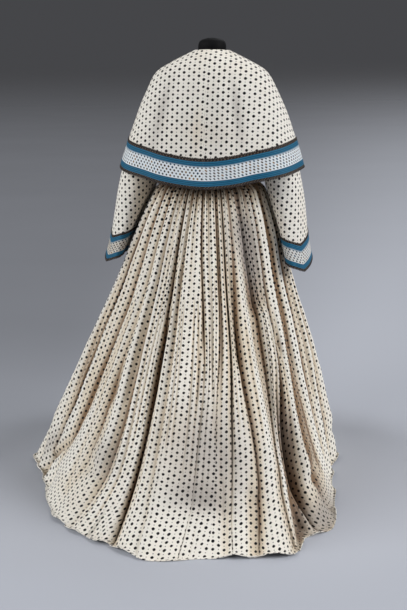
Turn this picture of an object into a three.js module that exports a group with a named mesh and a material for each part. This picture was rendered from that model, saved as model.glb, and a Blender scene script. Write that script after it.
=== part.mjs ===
// An afternoon dress of about 1860, seen as a set of sewn panels, standing on a limbless dress form.
// Millimetres, +Z up. The wearer faces -Y, the train lies towards +Y, the wearer's left is +X.
// An angle round the body is measured in degrees from straight behind (+Y) towards the left (+X).
import * as THREE from 'three';

// ---------------------------------------------------------------- named sizes
const CLOTH_WALL = 2.2;          // thickness of every cloth panel
const BAND_WALL = 1.2;           // thickness of an applied border
const SEAM_GAP = 0.36;           // space left between two panels at a seam
const LAID_GAP = 0.4;            // space between a panel and a band laid on it
const WAIST_HEIGHT = 986;        // top edge of the skirt panels
const WAIST_SIDE = 129;          // half width of the gathered waist
const WAIST_DEPTH = 107;         // half depth of the gathered waist
const WAISTBAND_BOTTOM = 989;
const WAISTBAND_TOP = 1022;
const BASE_RADIUS = 190;
const BASE_THICKNESS = 8;
const POLE_RADIUS = 16;
const FORM_BOTTOM = 800;

// ---------------------------------------------------------------- small sums
const radians = (degrees) => degrees * Math.PI / 180;
const mix = (a, b, t) => a + (b - a) * t;
const clamp = (value, low, high) => Math.min(high, Math.max(low, value));

// A smooth curve through the values of one table column, given at rising levels.
function curve(levels, values, at) {
  const last = levels.length - 1;
  if (at <= levels[0]) return values[0];
  if (at >= levels[last]) return values[last];
  let k = 0;
  while (at > levels[k + 1]) k += 1;
  const slope = (m) => {
    const lo = Math.max(0, m - 1);
    const hi = Math.min(last, m + 1);
    return (values[hi] - values[lo]) / (levels[hi] - levels[lo]);
  };
  const span = levels[k + 1] - levels[k];
  const t = (at - levels[k]) / span;
  const t2 = t * t;
  const t3 = t2 * t;
  return values[k] * (2 * t3 - 3 * t2 + 1) + slope(k) * span * (t3 - 2 * t2 + t)
    + values[k + 1] * (3 * t2 - 2 * t3) + slope(k + 1) * span * (t3 - t2);
}

// A straight-line reading of a table whose first column goes once round the body.
function roundBody(table, column, angle) {
  let a = angle;
  while (a > 180) a -= 360;
  while (a < -180) a += 360;
  let k = 0;
  while (k < table.length - 2 && a > table[k + 1][0]) k += 1;
  const [low, high] = [table[k], table[k + 1]];
  return mix(low[column], high[column], clamp((a - low[0]) / (high[0] - low[0]), 0, 1));
}

// The radius of a rounded oblong with its own reach to the side and to the front or back.
function ovalRadius(angle, side, depth, squareness) {
  const s = Math.abs(Math.sin(radians(angle))) / side;
  const c = Math.abs(Math.cos(radians(angle))) / depth;
  return (s ** squareness + c ** squareness) ** (-1 / squareness);
}

const atAngle = (angle, radius, height) => new THREE.Vector3(
  radius * Math.sin(radians(angle)), radius * Math.cos(radians(angle)), height);

// ---------------------------------------------------------------- cloth from a grid of points
// A sharp fold's points are moved out further than a flat one's, but no more than this allows.
const LEAST_LEAN = 0.7;

// A grid holds points[column][row] of the outer face and a direction out of the cloth at each.
function makeGrid(columnCount, rowCount, wraps, pointAt) {
  const points = [];
  for (let i = 0; i < columnCount; i += 1) {
    const column = [];
    for (let j = 0; j < rowCount; j += 1) column.push(pointAt(i, j));
    points.push(column);
  }
  const cell = (i, j) => {
    const next = wraps ? (i + 1) % columnCount : i + 1;
    const across = points[next][j + 1].clone().sub(points[i][j]);
    const back = points[next][j].clone().sub(points[i][j + 1]);
    return back.cross(across).normalize();
  };
  const outward = points.map((column, i) => column.map((point, j) => {
    const faces = [];
    for (const di of [-1, 0]) {
      for (const dj of [-1, 0]) {
        let ci = i + di;
        const cj = j + dj;
        if (wraps) ci = (ci + columnCount) % columnCount;
        if (ci < 0 || ci >= (wraps ? columnCount : columnCount - 1)) continue;
        if (cj < 0 || cj >= rowCount - 1) continue;
        faces.push(cell(ci, cj));
      }
    }
    const sum = faces.reduce((total, face) => total.add(face), new THREE.Vector3()).normalize();
    const lean = faces.reduce((least, face) => least + face.dot(sum), 0) / faces.length;
    return sum.divideScalar(clamp(lean, LEAST_LEAN, 1));
  }));
  return { points, outward, columnCount, rowCount, wraps };
}

// One closed panel: the outer face is lifted off the grid and the inner face lies a wall below it.
function panel(grid, options) {
  const { from, to, top, bottom } = options;
  const lift = options.lift ?? 0;
  const wall = options.wall ?? CLOTH_WALL;
  const floor = options.floor ?? -Infinity;
  const ring = options.ring ?? false;
  const columns = to - from + (ring ? 0 : 1);
  const rows = bottom - top + 1;
  const places = [];
  for (const depth of [lift, lift - wall]) {
    for (let i = 0; i < columns; i += 1) {
      const c = (from + i) % grid.columnCount;
      for (let j = 0; j < rows; j += 1) {
        const r = top + j;
        const point = grid.points[c][r].clone().addScaledVector(grid.outward[c][r], depth);
        if (!ring && (i === 0 || i === columns - 1)) {
          const sign = i === 0 ? 1 : -1;
          const down = grid.points[c][Math.min(r + 1, grid.rowCount - 1)].clone()
            .sub(grid.points[c][Math.max(r - 1, 0)]);
          const aside = down.cross(grid.outward[c][r]).normalize();
          point.addScaledVector(aside, sign * SEAM_GAP / 2);
        }
        const lowest = depth === lift ? floor + wall : floor;
        point.z = Math.max(point.z, lowest);
        places.push(point.x, point.y, point.z);
      }
    }
  }
  const half = columns * rows;
  const at = (layer, i, j) => layer * half + (i % columns) * rows + j;
  const faces = [];
  const quad = (a, b, c, d) => faces.push(a, b, c, a, c, d);
  const spans = ring ? columns : columns - 1;
  for (let i = 0; i < spans; i += 1) {
    for (let j = 0; j < rows - 1; j += 1) {
      quad(at(0, i, j), at(0, i + 1, j), at(0, i + 1, j + 1), at(0, i, j + 1));
      quad(at(1, i, j), at(1, i, j + 1), at(1, i + 1, j + 1), at(1, i + 1, j));
    }
    quad(at(0, i + 1, 0), at(0, i, 0), at(1, i, 0), at(1, i + 1, 0));
    quad(at(0, i, rows - 1), at(0, i + 1, rows - 1), at(1, i + 1, rows - 1), at(1, i, rows - 1));
  }
  if (!ring) {
    for (let j = 0; j < rows - 1; j += 1) {
      quad(at(0, 0, j), at(0, 0, j + 1), at(1, 0, j + 1), at(1, 0, j));
      quad(at(0, spans, j), at(1, spans, j), at(1, spans, j + 1), at(0, spans, j + 1));
    }
  }
  return closedBody(places, faces);
}

function closedBody(places, faces) {
  const geometry = new THREE.BufferGeometry();
  geometry.setAttribute('position', new THREE.Float32BufferAttribute(places, 3));
  geometry.setIndex(faces);
  geometry.computeVertexNormals();
  return geometry;
}

// A solid turned from rings that rise, closed flat below and above.
function ringSolid(rings, count) {
  const places = [];
  const faces = [];
  for (const ring of rings) {
    for (let i = 0; i < count; i += 1) {
      const angle = -i * 360 / count;
      const radius = ovalRadius(angle, ring.side, ring.depth, ring.square);
      const point = atAngle(angle, radius, ring.height);
      places.push(point.x, point.y, point.z);
    }
  }
  for (let k = 0; k < rings.length - 1; k += 1) {
    for (let i = 0; i < count; i += 1) {
      const a = k * count + i;
      const b = k * count + (i + 1) % count;
      faces.push(a, b, b + count, a, b + count, a + count);
    }
  }
  const low = rings.length * count;
  places.push(0, 0, rings[0].height);
  places.push(0, 0, rings[rings.length - 1].height);
  const top = (rings.length - 1) * count;
  for (let i = 0; i < count; i += 1) {
    const next = (i + 1) % count;
    faces.push(low, next, i);
    faces.push(low + 1, top + i, top + next);
  }
  return closedBody(places, faces);
}

// ---------------------------------------------------------------- the dress form
// Smooth and whole, neck to hip, with nothing below the hip but its pole.
const FORM = [
  // height, half width, half depth, squareness
  [FORM_BOTTOM, 126, 106, 2.0], [850, 130, 110, 2.0], [900, 122, 104, 2.0], [950, 111, 96, 2.0],
  [1000, 108, 94, 2.0], [1050, 121, 104, 2.0], [1120, 147, 114, 2.1], [1180, 163, 116, 2.2],
  [1240, 171, 110, 2.3], [1290, 171, 98, 2.3], [1318, 162, 88, 2.2], [1336, 143, 80, 2.1],
  [1352, 112, 71, 2.0], [1366, 78, 62, 2.0], [1380, 53, 53, 2.0], [1396, 47, 48, 2.0],
  [1414, 46, 47, 2.0], [1425, 42, 43, 2.0], [1432, 33, 34, 2.0], [1436, 18, 19, 2.0],
];
function formSection(height, column) {
  let k = 0;
  while (k < FORM.length - 2 && height > FORM[k + 1][0]) k += 1;
  const t = (height - FORM[k][0]) / (FORM[k + 1][0] - FORM[k][0]);
  return mix(FORM[k][column], FORM[k + 1][column], clamp(t, 0, 1));
}
function formRings() {
  return FORM.map(([height, side, depth, square]) => ({ height, side, depth, square }));
}

// ---------------------------------------------------------------- the skirt
// The line a fold's crest takes: from the waist straight out to the floor, then along it.
const SKIRT_REACH = [
  // angle, radius where the line meets the floor, radius of the hem, outward swell of the line
  [-180, 415, 422, 38], [-140, 425, 432, 38], [-110, 440, 447, 36], [-92, 440, 450, 37],
  [-76, 438, 449, 30], [-62, 484, 500, 20], [-55, 535, 553, 10], [-48, 600, 620, 0],
  [-41, 685, 712, -14], [-35, 775, 805, -30], [-28, 785, 815, -34], [-23.5, 905, 938, -40],
  [-19, 902, 934, -43], [-12, 888, 920, -45], [-6, 882, 914, -46], [-1, 912, 944, -46],
  [4, 915, 948, -46], [8, 872, 904, -44], [13, 850, 882, -42], [18, 820, 852, -38],
  [24, 786, 817, -33], [30, 756, 784, -26], [36, 706, 732, -18], [43, 660, 682, -8],
  [52, 622, 640, 4], [62, 608, 622, 13], [74, 614, 632, 20], [85, 572, 586, 25],
  [98, 496, 506, 31], [115, 452, 460, 37], [145, 428, 436, 38], [180, 415, 422, 38],
];
// One row for each valley between two folds, going round from the front by the right side.
const LEVELS = [0, 0.39, 0.76, 1];   // waist, hip, knee, hem, as shares of the way down the cloth
const VALLEYS = [
  // angle at waist, hip, knee, hem; depth at waist, hip, knee, hem; where the crest after it lies
  [-174, -174, -174, -174, 7, 17, 20, 9, 0.5], [-162, -161, -162, -162, 8, 19, 23, 10, 0.45],
  [-150, -151, -149, -149, 7, 16, 21, 9, 0.55], [-138, -137, -136, -134, 8, 20, 24, 10, 0.5],
  [-125, -124, -121, -116, 7, 18, 22, 9, 0.45], [-112, -109, -104, -98, 8, 20, 24, 9, 0.5],
  [-99, -94, -86, -78, 8, 19, 22, 8, 0.55], [-86, -77, -66, -58, 8, 22, 25, 9, 0.4],
  [-71, -56.5, -37.5, -45, 9, 24, 26, 9, 0.45], [-55.5, -42.5, -30, -33.5, 9, 25, 36, 10, 0.4],
  [-46, -37.5, -27.7, -27.5, 7, 4, 1, 2, 0.5], [-38, -33, -25.1, -24.8, 8, 18, 17, 9, 0.6],
  [-26, -19.5, -19.2, -16.7, 6, 16, 26, 10, 0.6], [-18.3, -16.4, -13.2, -12.2, 9, 26, 19, 2, 0.3],
  [-12, -11.9, -9.2, -7.7, 8, 16, 12, 2, 0.5], [-5, -8, -7.2, -4.5, 6, 3, 1, 1, 0.5],
  [2.5, -4.8, -5, -1.8, 8, 16, 16, 4, 0.4], [8, 1.6, -0.7, 1.3, 7, 3, 1, 1, 0.5],
  [13, 7.8, 4.8, 4.6, 8, 12, 14, 6, 0.5], [20.5, 13.8, 9.8, 10.8, 10, 32, 38, 10, 0.35],
  [26, 19, 13.2, 19, 6, 4, 2, 2, 0.5], [31.5, 24.5, 18.5, 24.6, 9, 26, 28, 8, 0.4],
  [43, 36, 27.5, 34, 9, 24, 26, 8, 0.45], [54, 50, 46, 49, 9, 24, 26, 9, 0.45],
  [65, 68, 62, 57, 8, 20, 24, 12, 0.5], [76, 78, 73, 68, 8, 18, 22, 10, 0.5],
  [87, 88, 84, 80, 7, 20, 23, 9, 0.5], [99, 99, 96, 93, 8, 18, 22, 9, 0.45],
  [111, 110, 109, 106, 7, 20, 24, 10, 0.5], [124, 123, 122, 120, 8, 17, 21, 9, 0.55],
  [137, 137, 136, 134, 7, 20, 24, 9, 0.5], [149, 150, 149, 148, 8, 18, 22, 10, 0.45],
  [161, 161, 162, 161, 7, 19, 23, 9, 0.5], [173, 173, 174, 173, 8, 17, 20, 9, 0.5],
];
const SKIRT_ROWS = [
  0, 0.04, 0.1, 0.18, 0.27, 0.36, 0.45, 0.54, 0.63, 0.72, 0.8, 0.87, 0.93, 0.965, 1,
];
const STEPS_PER_FOLD = 3;
const FLOOR_SHARE = 0.94;        // where, on the way down, the cloth meets the floor
const LEAST_RUN = 12;            // the least length of cloth that lies on the floor
const BEND_LENGTH = 120;         // cloth past the floor line that is still bending
const BEND_SHARE = 0.8;          // the bend's share of a short run
const BEND_ABOVE = 1.3;          // how much longer the bend is above the floor than along it
const FOLD_FULLNESS = 0.8;       // below 1 the folds are fuller than a plain wave
const FOLD_SHOULDER = 0.6;       // where a fold's two middle columns lie, as a share of its side

// The crest line at an angle: radius, height and the outward lean, at a share of its length.
function crestLine(angle, share) {
  const waist = ovalRadius(angle, WAIST_SIDE, WAIST_DEPTH, 2);
  const foot = roundBody(SKIRT_REACH, 1, angle);
  const hem = roundBody(SKIRT_REACH, 2, angle);
  const swell = roundBody(SKIRT_REACH, 3, angle);
  const slant = Math.hypot(foot - waist, WAIST_HEIGHT);
  const run = Math.max(hem - foot, LEAST_RUN);
  const along = share < FLOOR_SHARE ? slant * share / FLOOR_SHARE
    : slant + run * (share - FLOOR_SHARE) / (1 - FLOOR_SHARE);
  const out = (foot - waist) / slant;
  const fall = WAIST_HEIGHT / slant;
  const after = Math.min(BEND_LENGTH, BEND_SHARE * run);
  const before = BEND_ABOVE * after;
  let radius = foot + along - slant;
  let height = 0;
  let level = 0;
  if (along < slant) {
    radius = waist + out * along;
    height = WAIST_HEIGHT - fall * along;
    level = 1;
  }
  if (along > slant - before && along < slant + after) {
    const t = (along - slant + before) / (before + after);
    radius = (1 - t) ** 2 * (foot - out * before) + 2 * t * (1 - t) * foot + t * t * (foot + after);
    height = (1 - t) ** 2 * fall * before;
    level = 1 - t;
  }
  const bulge = swell * Math.sin(Math.PI * clamp(along / slant, 0, 1));
  radius += bulge * fall;
  height += bulge * out;
  return { radius, height, upright: level, out: level * fall, up: Math.sqrt(1 - (level * fall) ** 2) };
}

// A point on the skirt: which fold, how far across it, how far down.
function skirtPoint(fold, across, share) {
  const here = VALLEYS[fold % VALLEYS.length];
  const next = VALLEYS[(fold + 1) % VALLEYS.length];
  const turn = fold === VALLEYS.length - 1 ? 360 : 0;
  const angle = mix(curve(LEVELS, here.slice(0, 4), share),
    curve(LEVELS, next.slice(0, 4), share) + turn, across);
  const depth = mix(curve(LEVELS, here.slice(4, 8), share),
    curve(LEVELS, next.slice(4, 8), share), across);
  const crest = here[8];
  const reach = across < crest ? across / crest : (1 - across) / (1 - crest);
  const rise = Math.sin(reach * Math.PI / 2) ** FOLD_FULLNESS;
  const line = crestLine(angle, share);
  const shift = depth * (rise - line.upright);
  const height = line.height + CLOTH_WALL + shift * line.up;
  return atAngle(angle, line.radius + shift * line.out, Math.max(height, CLOTH_WALL));
}

function skirtGrid() {
  const columnCount = VALLEYS.length * STEPS_PER_FOLD;
  return makeGrid(columnCount, SKIRT_ROWS.length, true, (i, j) => {
    const fold = Math.floor(i / STEPS_PER_FOLD);
    const crest = VALLEYS[fold][8];
    const stops = [0, FOLD_SHOULDER * crest, 1 - FOLD_SHOULDER * (1 - crest)];
    return skirtPoint(fold, stops[i % STEPS_PER_FOLD], SKIRT_ROWS[j]);
  });
}

// The radius of the skirt's crests at a height, used to keep the sleeves outside it.
const LOWEST_SLEEVE_SHARE = 0.8;
const SEARCH_STEP = 0.01;
function skirtRadiusAt(angle, height) {
  let reach = 0;
  for (let share = 0; share <= LOWEST_SLEEVE_SHARE; share += SEARCH_STEP) {
    const line = crestLine(angle, share);
    reach = line.radius;
    if (line.height + CLOTH_WALL < height) break;
  }
  return reach;
}

// ---------------------------------------------------------------- the cape
const CAPE = [
  // height at back, side, front; reach to the side, back, front; squareness
  [1400, 1398, 1376, 58, 59, 68, 2.0], [1386, 1379, 1360, 97, 76, 83, 2.0],
  [1366, 1358, 1340, 138, 94, 99, 2.1], [1338, 1337, 1312, 174, 111, 115, 2.2],
  [1306, 1316, 1282, 194, 124, 128, 2.3], [1262, 1280, 1244, 215, 140, 146, 2.3],
  [1204, 1232, 1192, 238, 156, 164, 2.3], [1130, 1174, 1124, 262, 174, 182, 2.3],
  [1053, 1112, 1046, 286, 191, 199, 2.3], [1022, 1081, 1014, 296, 197, 206, 2.3],
  [991, 1050, 982, 307, 203, 212, 2.3], [960, 1020, 950, 317, 209, 218, 2.3],
];
const CAPE_BORDER_ROW = 8;
const CAPE_FOLD_ROW = 4;         // the troughs begin below this row
const CAPE_EDGE_CURVE = 1.4;     // how quickly the hem rises from the back to the side
const CAPE_END_ANGLE = 179.2;    // the two front edges lie this far round
// Soft troughs that run down the cape: where, how wide, how deep at the hem.
const CAPE_TROUGHS = [
  [-158, 12, 6], [-132, 14, 8], [-104, 13, 6], [-78, 11, 5], [-42, 10, 9], [-16, 12, 3],
  [20, 13, 4], [53, 11, 8], [82, 12, 5], [107, 13, 7], [134, 13, 6], [160, 12, 7],
];
const CAPE_COLUMNS = 40;

function capePoint(angle, row) {
  const [back, sideHeight, front, side, backReach, frontReach, square] = CAPE[row];
  const c = Math.cos(radians(angle));
  const height = sideHeight + (c > 0 ? back - sideHeight : front - sideHeight)
    * Math.abs(c) ** CAPE_EDGE_CURVE;
  let radius = ovalRadius(angle, side, c > 0 ? backReach : frontReach, square);
  const share = clamp((row - CAPE_FOLD_ROW) / (CAPE.length - 1 - CAPE_FOLD_ROW), 0, 1);
  for (const [middle, width, depth] of CAPE_TROUGHS) {
    radius -= share * depth * Math.exp(-(((angle - middle) / width) ** 2));
  }
  return atAngle(angle, radius, height);
}

function capeGrid() {
  return makeGrid(CAPE_COLUMNS + 1, CAPE.length, false,
    (i, j) => capePoint(mix(-CAPE_END_ANGLE, CAPE_END_ANGLE, i / CAPE_COLUMNS), j));
}

// ---------------------------------------------------------------- the sleeves
const SLEEVE = [
  // outer edge: side, height; inner edge: side, height; middle towards the back; half depth
  [186, 1310, 186, 1192, 0, 54], [196, 1298, 189, 1168, 0, 60], [222, 1248, 187, 1128, 0, 70],
  [245, 1188, 184, 1080, 0, 79], [271, 1108, 182, 1020, -2, 88], [298, 1015, 186, 955, -5, 96],
  [317, 930, 202, 888, -8, 103], [328, 858, 222, 828, -10, 109], [336, 802, 236, 786, -11, 113],
  [345, 755, 246, 742, -12, 117], [355, 714, 255, 702, -12, 120],
];
const SLEEVE_SPREAD = { 1: 14, '-1': -13 };   // how much further out each sleeve hangs at its hem
const SLEEVE_RAISE = { 1: 16, '-1': 0 };      // how much higher each hem hangs
const SLEEVE_BORDER_ROW = 8;
const SLEEVE_COLUMNS = 20;
const SLEEVE_POINT_ANGLE = 50;     // round the sleeve, from outside towards the back
const SLEEVE_POINT_DROP = 34;      // how far the pointed hem falls there
const SLEEVE_POINT_WIDTH = 80;     // how far round from the point the hem is straight again
const SLEEVE_SPREAD_ROW = 2;       // the sleeve leaves the cape's line below this row
const SLEEVE_POINT_ROW = 6;        // the point begins to form below this row
const SLEEVE_FREE_ROW = 4;         // below this row the sleeve hangs outside the skirt
const SKIRT_CLEARANCE = 9;         // between the skirt's crests and the sleeve's outer face
const SLEEVE_TROUGHS = [
  // round the sleeve, width, depth
  [78, 16, 7], [140, 18, 5], [232, 20, 6], [300, 18, 6],
];

// side is +1 for the wearer's left and -1 for the right; around runs 0 outside, 90 back, 180 inside.
function sleevePoint(side, around, row) {
  const [outerSide, outerHeight, innerSide, innerHeight, back, halfDepth] = SLEEVE[row];
  const c = Math.cos(radians(around));
  const s = Math.sin(radians(around));
  const share = clamp((row - SLEEVE_SPREAD_ROW) / (SLEEVE.length - 1 - SLEEVE_SPREAD_ROW), 0, 1);
  let scale = 1;
  for (const [middle, width, depth] of SLEEVE_TROUGHS) {
    const off = ((around - middle + 540) % 360) - 180;
    scale -= share * depth / 100 * Math.exp(-((off / width) ** 2));
  }
  const x = (outerSide + innerSide) / 2 + (outerSide - innerSide) / 2 * c * scale
    + SLEEVE_SPREAD[side] * share;
  let z = (outerHeight + innerHeight) / 2 + (outerHeight - innerHeight) / 2 * c
    + SLEEVE_RAISE[side] * share;
  const y = back + halfDepth * s * scale;
  const fromPoint = Math.abs(((around - SLEEVE_POINT_ANGLE + 540) % 360) - 180);
  const pointed = Math.max(0, 1 - fromPoint / SLEEVE_POINT_WIDTH);
  z -= SLEEVE_POINT_DROP * pointed * clamp((row - SLEEVE_POINT_ROW) / 2, 0, 1);
  const angle = Math.atan2(side * x, y) * 180 / Math.PI;
  let radius = Math.hypot(x, y);
  if (row > SLEEVE_FREE_ROW) radius = Math.max(radius, skirtRadiusAt(angle, z) + SKIRT_CLEARANCE);
  return atAngle(angle, radius, z);
}

// The columns start at the inside and go the same way round as the body's own angle.
function sleeveGrid(side) {
  return makeGrid(SLEEVE_COLUMNS, SLEEVE.length, true, (i, j) => {
    const turn = i * 360 / SLEEVE_COLUMNS;
    return sleevePoint(side, side > 0 ? 540 - turn : 180 + turn, j);
  });
}

// ---------------------------------------------------------------- the bodice
const BODICE = [
  // height; half angle of the back panel; half angle taken off the fronts at the side
  [994, 87.6, 88.4], [1050, 87.6, 88.4], [1120, 87.6, 88.4], [1180, 84, 93], [1190, 80, 98],
  [1202, 74, 104], [1218, 67, 111], [1240, 63, 116], [1290, 65, 115], [1304, 72, 108],
  [1318, 80, 100], [1328, 86, 94], [1336, 89.4, 90.6], [1352, 89.2, 90.8], [1366, 89, 91],
];
const BODICE_GAP = 3.6;            // between the form and the bodice
const BODICE_OUT = BODICE_GAP + CLOTH_WALL;
const FRONT_EDGE_ANGLE = 179.6;    // the two front edges lie this far round
const BACK_COLUMNS = 14;
const FRONT_COLUMNS = 7;

// A point at a distance out of the form, measured square to its surface.
function torsoPoint(angle, height, out) {
  const radiusAt = (h) => ovalRadius(angle, formSection(h, 1), formSection(h, 2), formSection(h, 3));
  const slope = (radiusAt(height + 10) - radiusAt(height - 10)) / 20;
  return atAngle(angle, radiusAt(height) + out * Math.hypot(1, slope), height);
}

function bodiceBackGrid() {
  return makeGrid(BACK_COLUMNS + 1, BODICE.length, false, (i, j) => {
    const [height, half] = BODICE[j];
    const angle = mix(-half, half, i / BACK_COLUMNS);
    return torsoPoint(angle, height, BODICE_OUT);
  });
}

function bodiceFrontGrid(side) {
  return makeGrid(FRONT_COLUMNS + 1, BODICE.length, false, (i, j) => {
    const [height, , away] = BODICE[j];
    const share = i / FRONT_COLUMNS;
    const angle = side > 0 ? mix(away, FRONT_EDGE_ANGLE, share)
      : mix(-FRONT_EDGE_ANGLE, -away, share);
    return torsoPoint(angle, height, BODICE_OUT);
  });
}

function flipRows(grid) {
  // Rows that rise are turned over so that they run downwards like the other panels.
  const points = grid.points.map((column) => [...column].reverse());
  return makeGrid(grid.columnCount, grid.rowCount, grid.wraps, (i, j) => points[i][j]);
}

const WAISTBAND_COLUMNS = 36;
const WAISTBAND_EASE = 1.2;        // extra room under the waistband for its flat facets
function waistbandGrid() {
  const heights = [WAISTBAND_TOP, WAISTBAND_BOTTOM];
  return makeGrid(WAISTBAND_COLUMNS, 2, true, (i, j) => {
    const angle = -180 + i * 360 / WAISTBAND_COLUMNS;
    return torsoPoint(angle, heights[j], BODICE_OUT + LAID_GAP + CLOTH_WALL + WAISTBAND_EASE);
  });
}

// ---------------------------------------------------------------- assembly
const CREAM = { colour: '#e9e2d2', roughness: 0.85, metalness: 0 };
const BLUE = { colour: '#2a6a94', roughness: 0.7, metalness: 0 };
const BLACK = { colour: '#17161a', roughness: 0.6, metalness: 0 };
const STEEL = { colour: '#3a3b3e', roughness: 0.45, metalness: 0.8 };
const group = new THREE.Group();
group.name = 'afternoon_dress';

function addPiece(name, geometry, look) {
  const material = new THREE.MeshStandardMaterial({
    color: look.colour, roughness: look.roughness, metalness: look.metalness,
  });
  material.name = name;
  const mesh = new THREE.Mesh(geometry, material);
  mesh.name = name;
  group.add(mesh);
}

const FORM_SIDES = 24;
const POLE_SIDES = 16;
const BASE_SIDES = 36;
const BASE_CHAMFER = 2;            // height of the sloped rim of the base
const STAND_GAP = 0.3;             // between the pole and what it meets at each end
function addStand() {
  addPiece('dress_form', ringSolid(formRings(), FORM_SIDES), BLACK);
  const round = (height, radius) => ({ height, side: radius, depth: radius, square: 2 });
  addPiece('stand_pole', ringSolid([
    round(BASE_THICKNESS + STAND_GAP, POLE_RADIUS),
    round(FORM_BOTTOM - STAND_GAP, POLE_RADIUS),
  ], POLE_SIDES), STEEL);
  addPiece('stand_base', ringSolid([
    round(0, BASE_RADIUS),
    round(BASE_THICKNESS - BASE_CHAMFER, BASE_RADIUS),
    round(BASE_THICKNESS, BASE_RADIUS - BASE_CHAMFER - 1),
  ], BASE_SIDES), STEEL);
}

function addSkirt() {
  const grid = skirtGrid();
  const rows = { top: 0, bottom: SKIRT_ROWS.length - 1, floor: 0 };
  // Each breadth runs from one valley to another, so that its seams lie in the folds.
  const breadths = [
    ['skirt_front', 30, 38], ['skirt_side_right', 4, 9], ['skirt_back_right', 9, 13],
    ['skirt_back_centre', 13, 19], ['skirt_back_left', 19, 24], ['skirt_side_left', 24, 30],
  ];
  for (const [name, first, last] of breadths) {
    addPiece(name, panel(grid, {
      ...rows, from: first * STEPS_PER_FOLD, to: last * STEPS_PER_FOLD,
    }), CREAM);
  }
}

function addCape() {
  const grid = capeGrid();
  const middle = CAPE_COLUMNS / 2;
  const whole = { top: 0, bottom: CAPE.length - 1 };
  const band = {
    top: CAPE_BORDER_ROW, bottom: CAPE.length - 1, lift: LAID_GAP + BAND_WALL, wall: BAND_WALL,
  };
  addPiece('cape_right', panel(grid, { ...whole, from: 0, to: middle }), CREAM);
  addPiece('cape_left', panel(grid, { ...whole, from: middle, to: CAPE_COLUMNS }), CREAM);
  addPiece('cape_border_right', panel(grid, { ...band, from: 0, to: middle }), BLUE);
  addPiece('cape_border_left', panel(grid, { ...band, from: middle, to: CAPE_COLUMNS }), BLUE);
}

function addSleeves() {
  for (const [word, side] of [['left', 1], ['right', -1]]) {
    const grid = sleeveGrid(side);
    const bottom = SLEEVE.length - 1;
    // Two seams, one down the front and one down the back of the arm.
    const firstSeam = SLEEVE_COLUMNS / 4;
    const nextSeam = firstSeam + SLEEVE_COLUMNS / 2;
    addPiece(`sleeve_outer_${word}`, panel(grid,
      { from: firstSeam, to: nextSeam, top: 0, bottom }), CREAM);
    addPiece(`sleeve_under_${word}`, panel(grid,
      { from: nextSeam, to: firstSeam + SLEEVE_COLUMNS, top: 0, bottom }), CREAM);
    addPiece(`sleeve_border_${word}`, panel(grid, {
      from: 0, to: SLEEVE_COLUMNS, ring: true, top: SLEEVE_BORDER_ROW, bottom,
      lift: LAID_GAP + BAND_WALL, wall: BAND_WALL,
    }), BLUE);
  }
}

function addBodice() {
  const rows = { top: 0, bottom: BODICE.length - 1 };
  addPiece('bodice_back', panel(flipRows(bodiceBackGrid()), { ...rows, from: 0, to: BACK_COLUMNS }),
    CREAM);
  addPiece('bodice_front_left', panel(flipRows(bodiceFrontGrid(1)),
    { ...rows, from: 0, to: FRONT_COLUMNS }), CREAM);
  addPiece('bodice_front_right', panel(flipRows(bodiceFrontGrid(-1)),
    { ...rows, from: 0, to: FRONT_COLUMNS }), CREAM);
  addPiece('waistband', panel(waistbandGrid(),
    { from: 0, to: WAISTBAND_COLUMNS, top: 0, bottom: 1, ring: true }), CREAM);
}

addStand();
addSkirt();
addBodice();
addSleeves();
addCape();

export default group;
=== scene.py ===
import math

import bmesh
import bpy
import numpy as np
from mathutils import Matrix, Vector


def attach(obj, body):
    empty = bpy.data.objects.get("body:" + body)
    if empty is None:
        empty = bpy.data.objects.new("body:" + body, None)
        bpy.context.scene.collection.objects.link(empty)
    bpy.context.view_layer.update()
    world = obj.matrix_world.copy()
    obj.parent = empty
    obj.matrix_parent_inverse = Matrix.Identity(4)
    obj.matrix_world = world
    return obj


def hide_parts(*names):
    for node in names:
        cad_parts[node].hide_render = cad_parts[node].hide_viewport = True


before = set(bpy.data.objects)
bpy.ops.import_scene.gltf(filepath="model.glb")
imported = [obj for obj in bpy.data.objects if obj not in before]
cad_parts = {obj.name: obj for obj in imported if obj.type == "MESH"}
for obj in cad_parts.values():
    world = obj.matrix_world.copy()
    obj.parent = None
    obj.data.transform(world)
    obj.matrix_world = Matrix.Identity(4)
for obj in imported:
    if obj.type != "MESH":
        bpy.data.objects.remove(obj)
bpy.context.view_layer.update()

# An afternoon dress of about 1860 on a limbless dress form. Tables are in millimetres.
# The wearer faces -Y, the train lies towards +Y, and the wearer's left is +X.
# An angle round the body is in degrees from straight behind (+Y) towards the left (+X).
MM = 0.001

# ---- named sizes
CLOTH_WALL = 2.2  # how far a panel's outer face stands off its own line
SHELL = 1.6  # thickness of the cloth
BAND_SHELL = 1.0
LAID_GAP = 0.4  # between a panel and what is laid on it
WAIST_HEIGHT = 986
WAIST_SIDE = 129
WAIST_DEPTH = 107
WAISTBAND_BOTTOM = 989
WAISTBAND_TOP = 1022
BODICE_OUT = 5.8  # outer face of the bodice, out from the form
PICOT_PITCH = 5.5  # between two picots along the edge of a border
SEED = 1860


# ---- small sums
def curve(levels, values, at):
    """Reads a smooth curve through values, given at rising levels along their last axis."""
    levels = np.asarray(levels, float)
    values = np.asarray(values, float)
    at = np.clip(at, levels[0], levels[-1])
    k = np.clip(np.searchsorted(levels, at, side="right") - 1, 0, len(levels) - 2)
    low = np.maximum(np.arange(len(levels)) - 1, 0)
    high = np.minimum(np.arange(len(levels)) + 1, len(levels) - 1)
    slopes = (values[..., high] - values[..., low]) / (levels[high] - levels[low])
    span = levels[k + 1] - levels[k]
    t = (at - levels[k]) / span
    return (
        values[..., k] * (2 * t**3 - 3 * t**2 + 1)
        + slopes[..., k] * span * (t**3 - 2 * t**2 + t)
        + values[..., k + 1] * (3 * t**2 - 2 * t**3)
        + slopes[..., k + 1] * span * (t**3 - t**2)
    )


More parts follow.
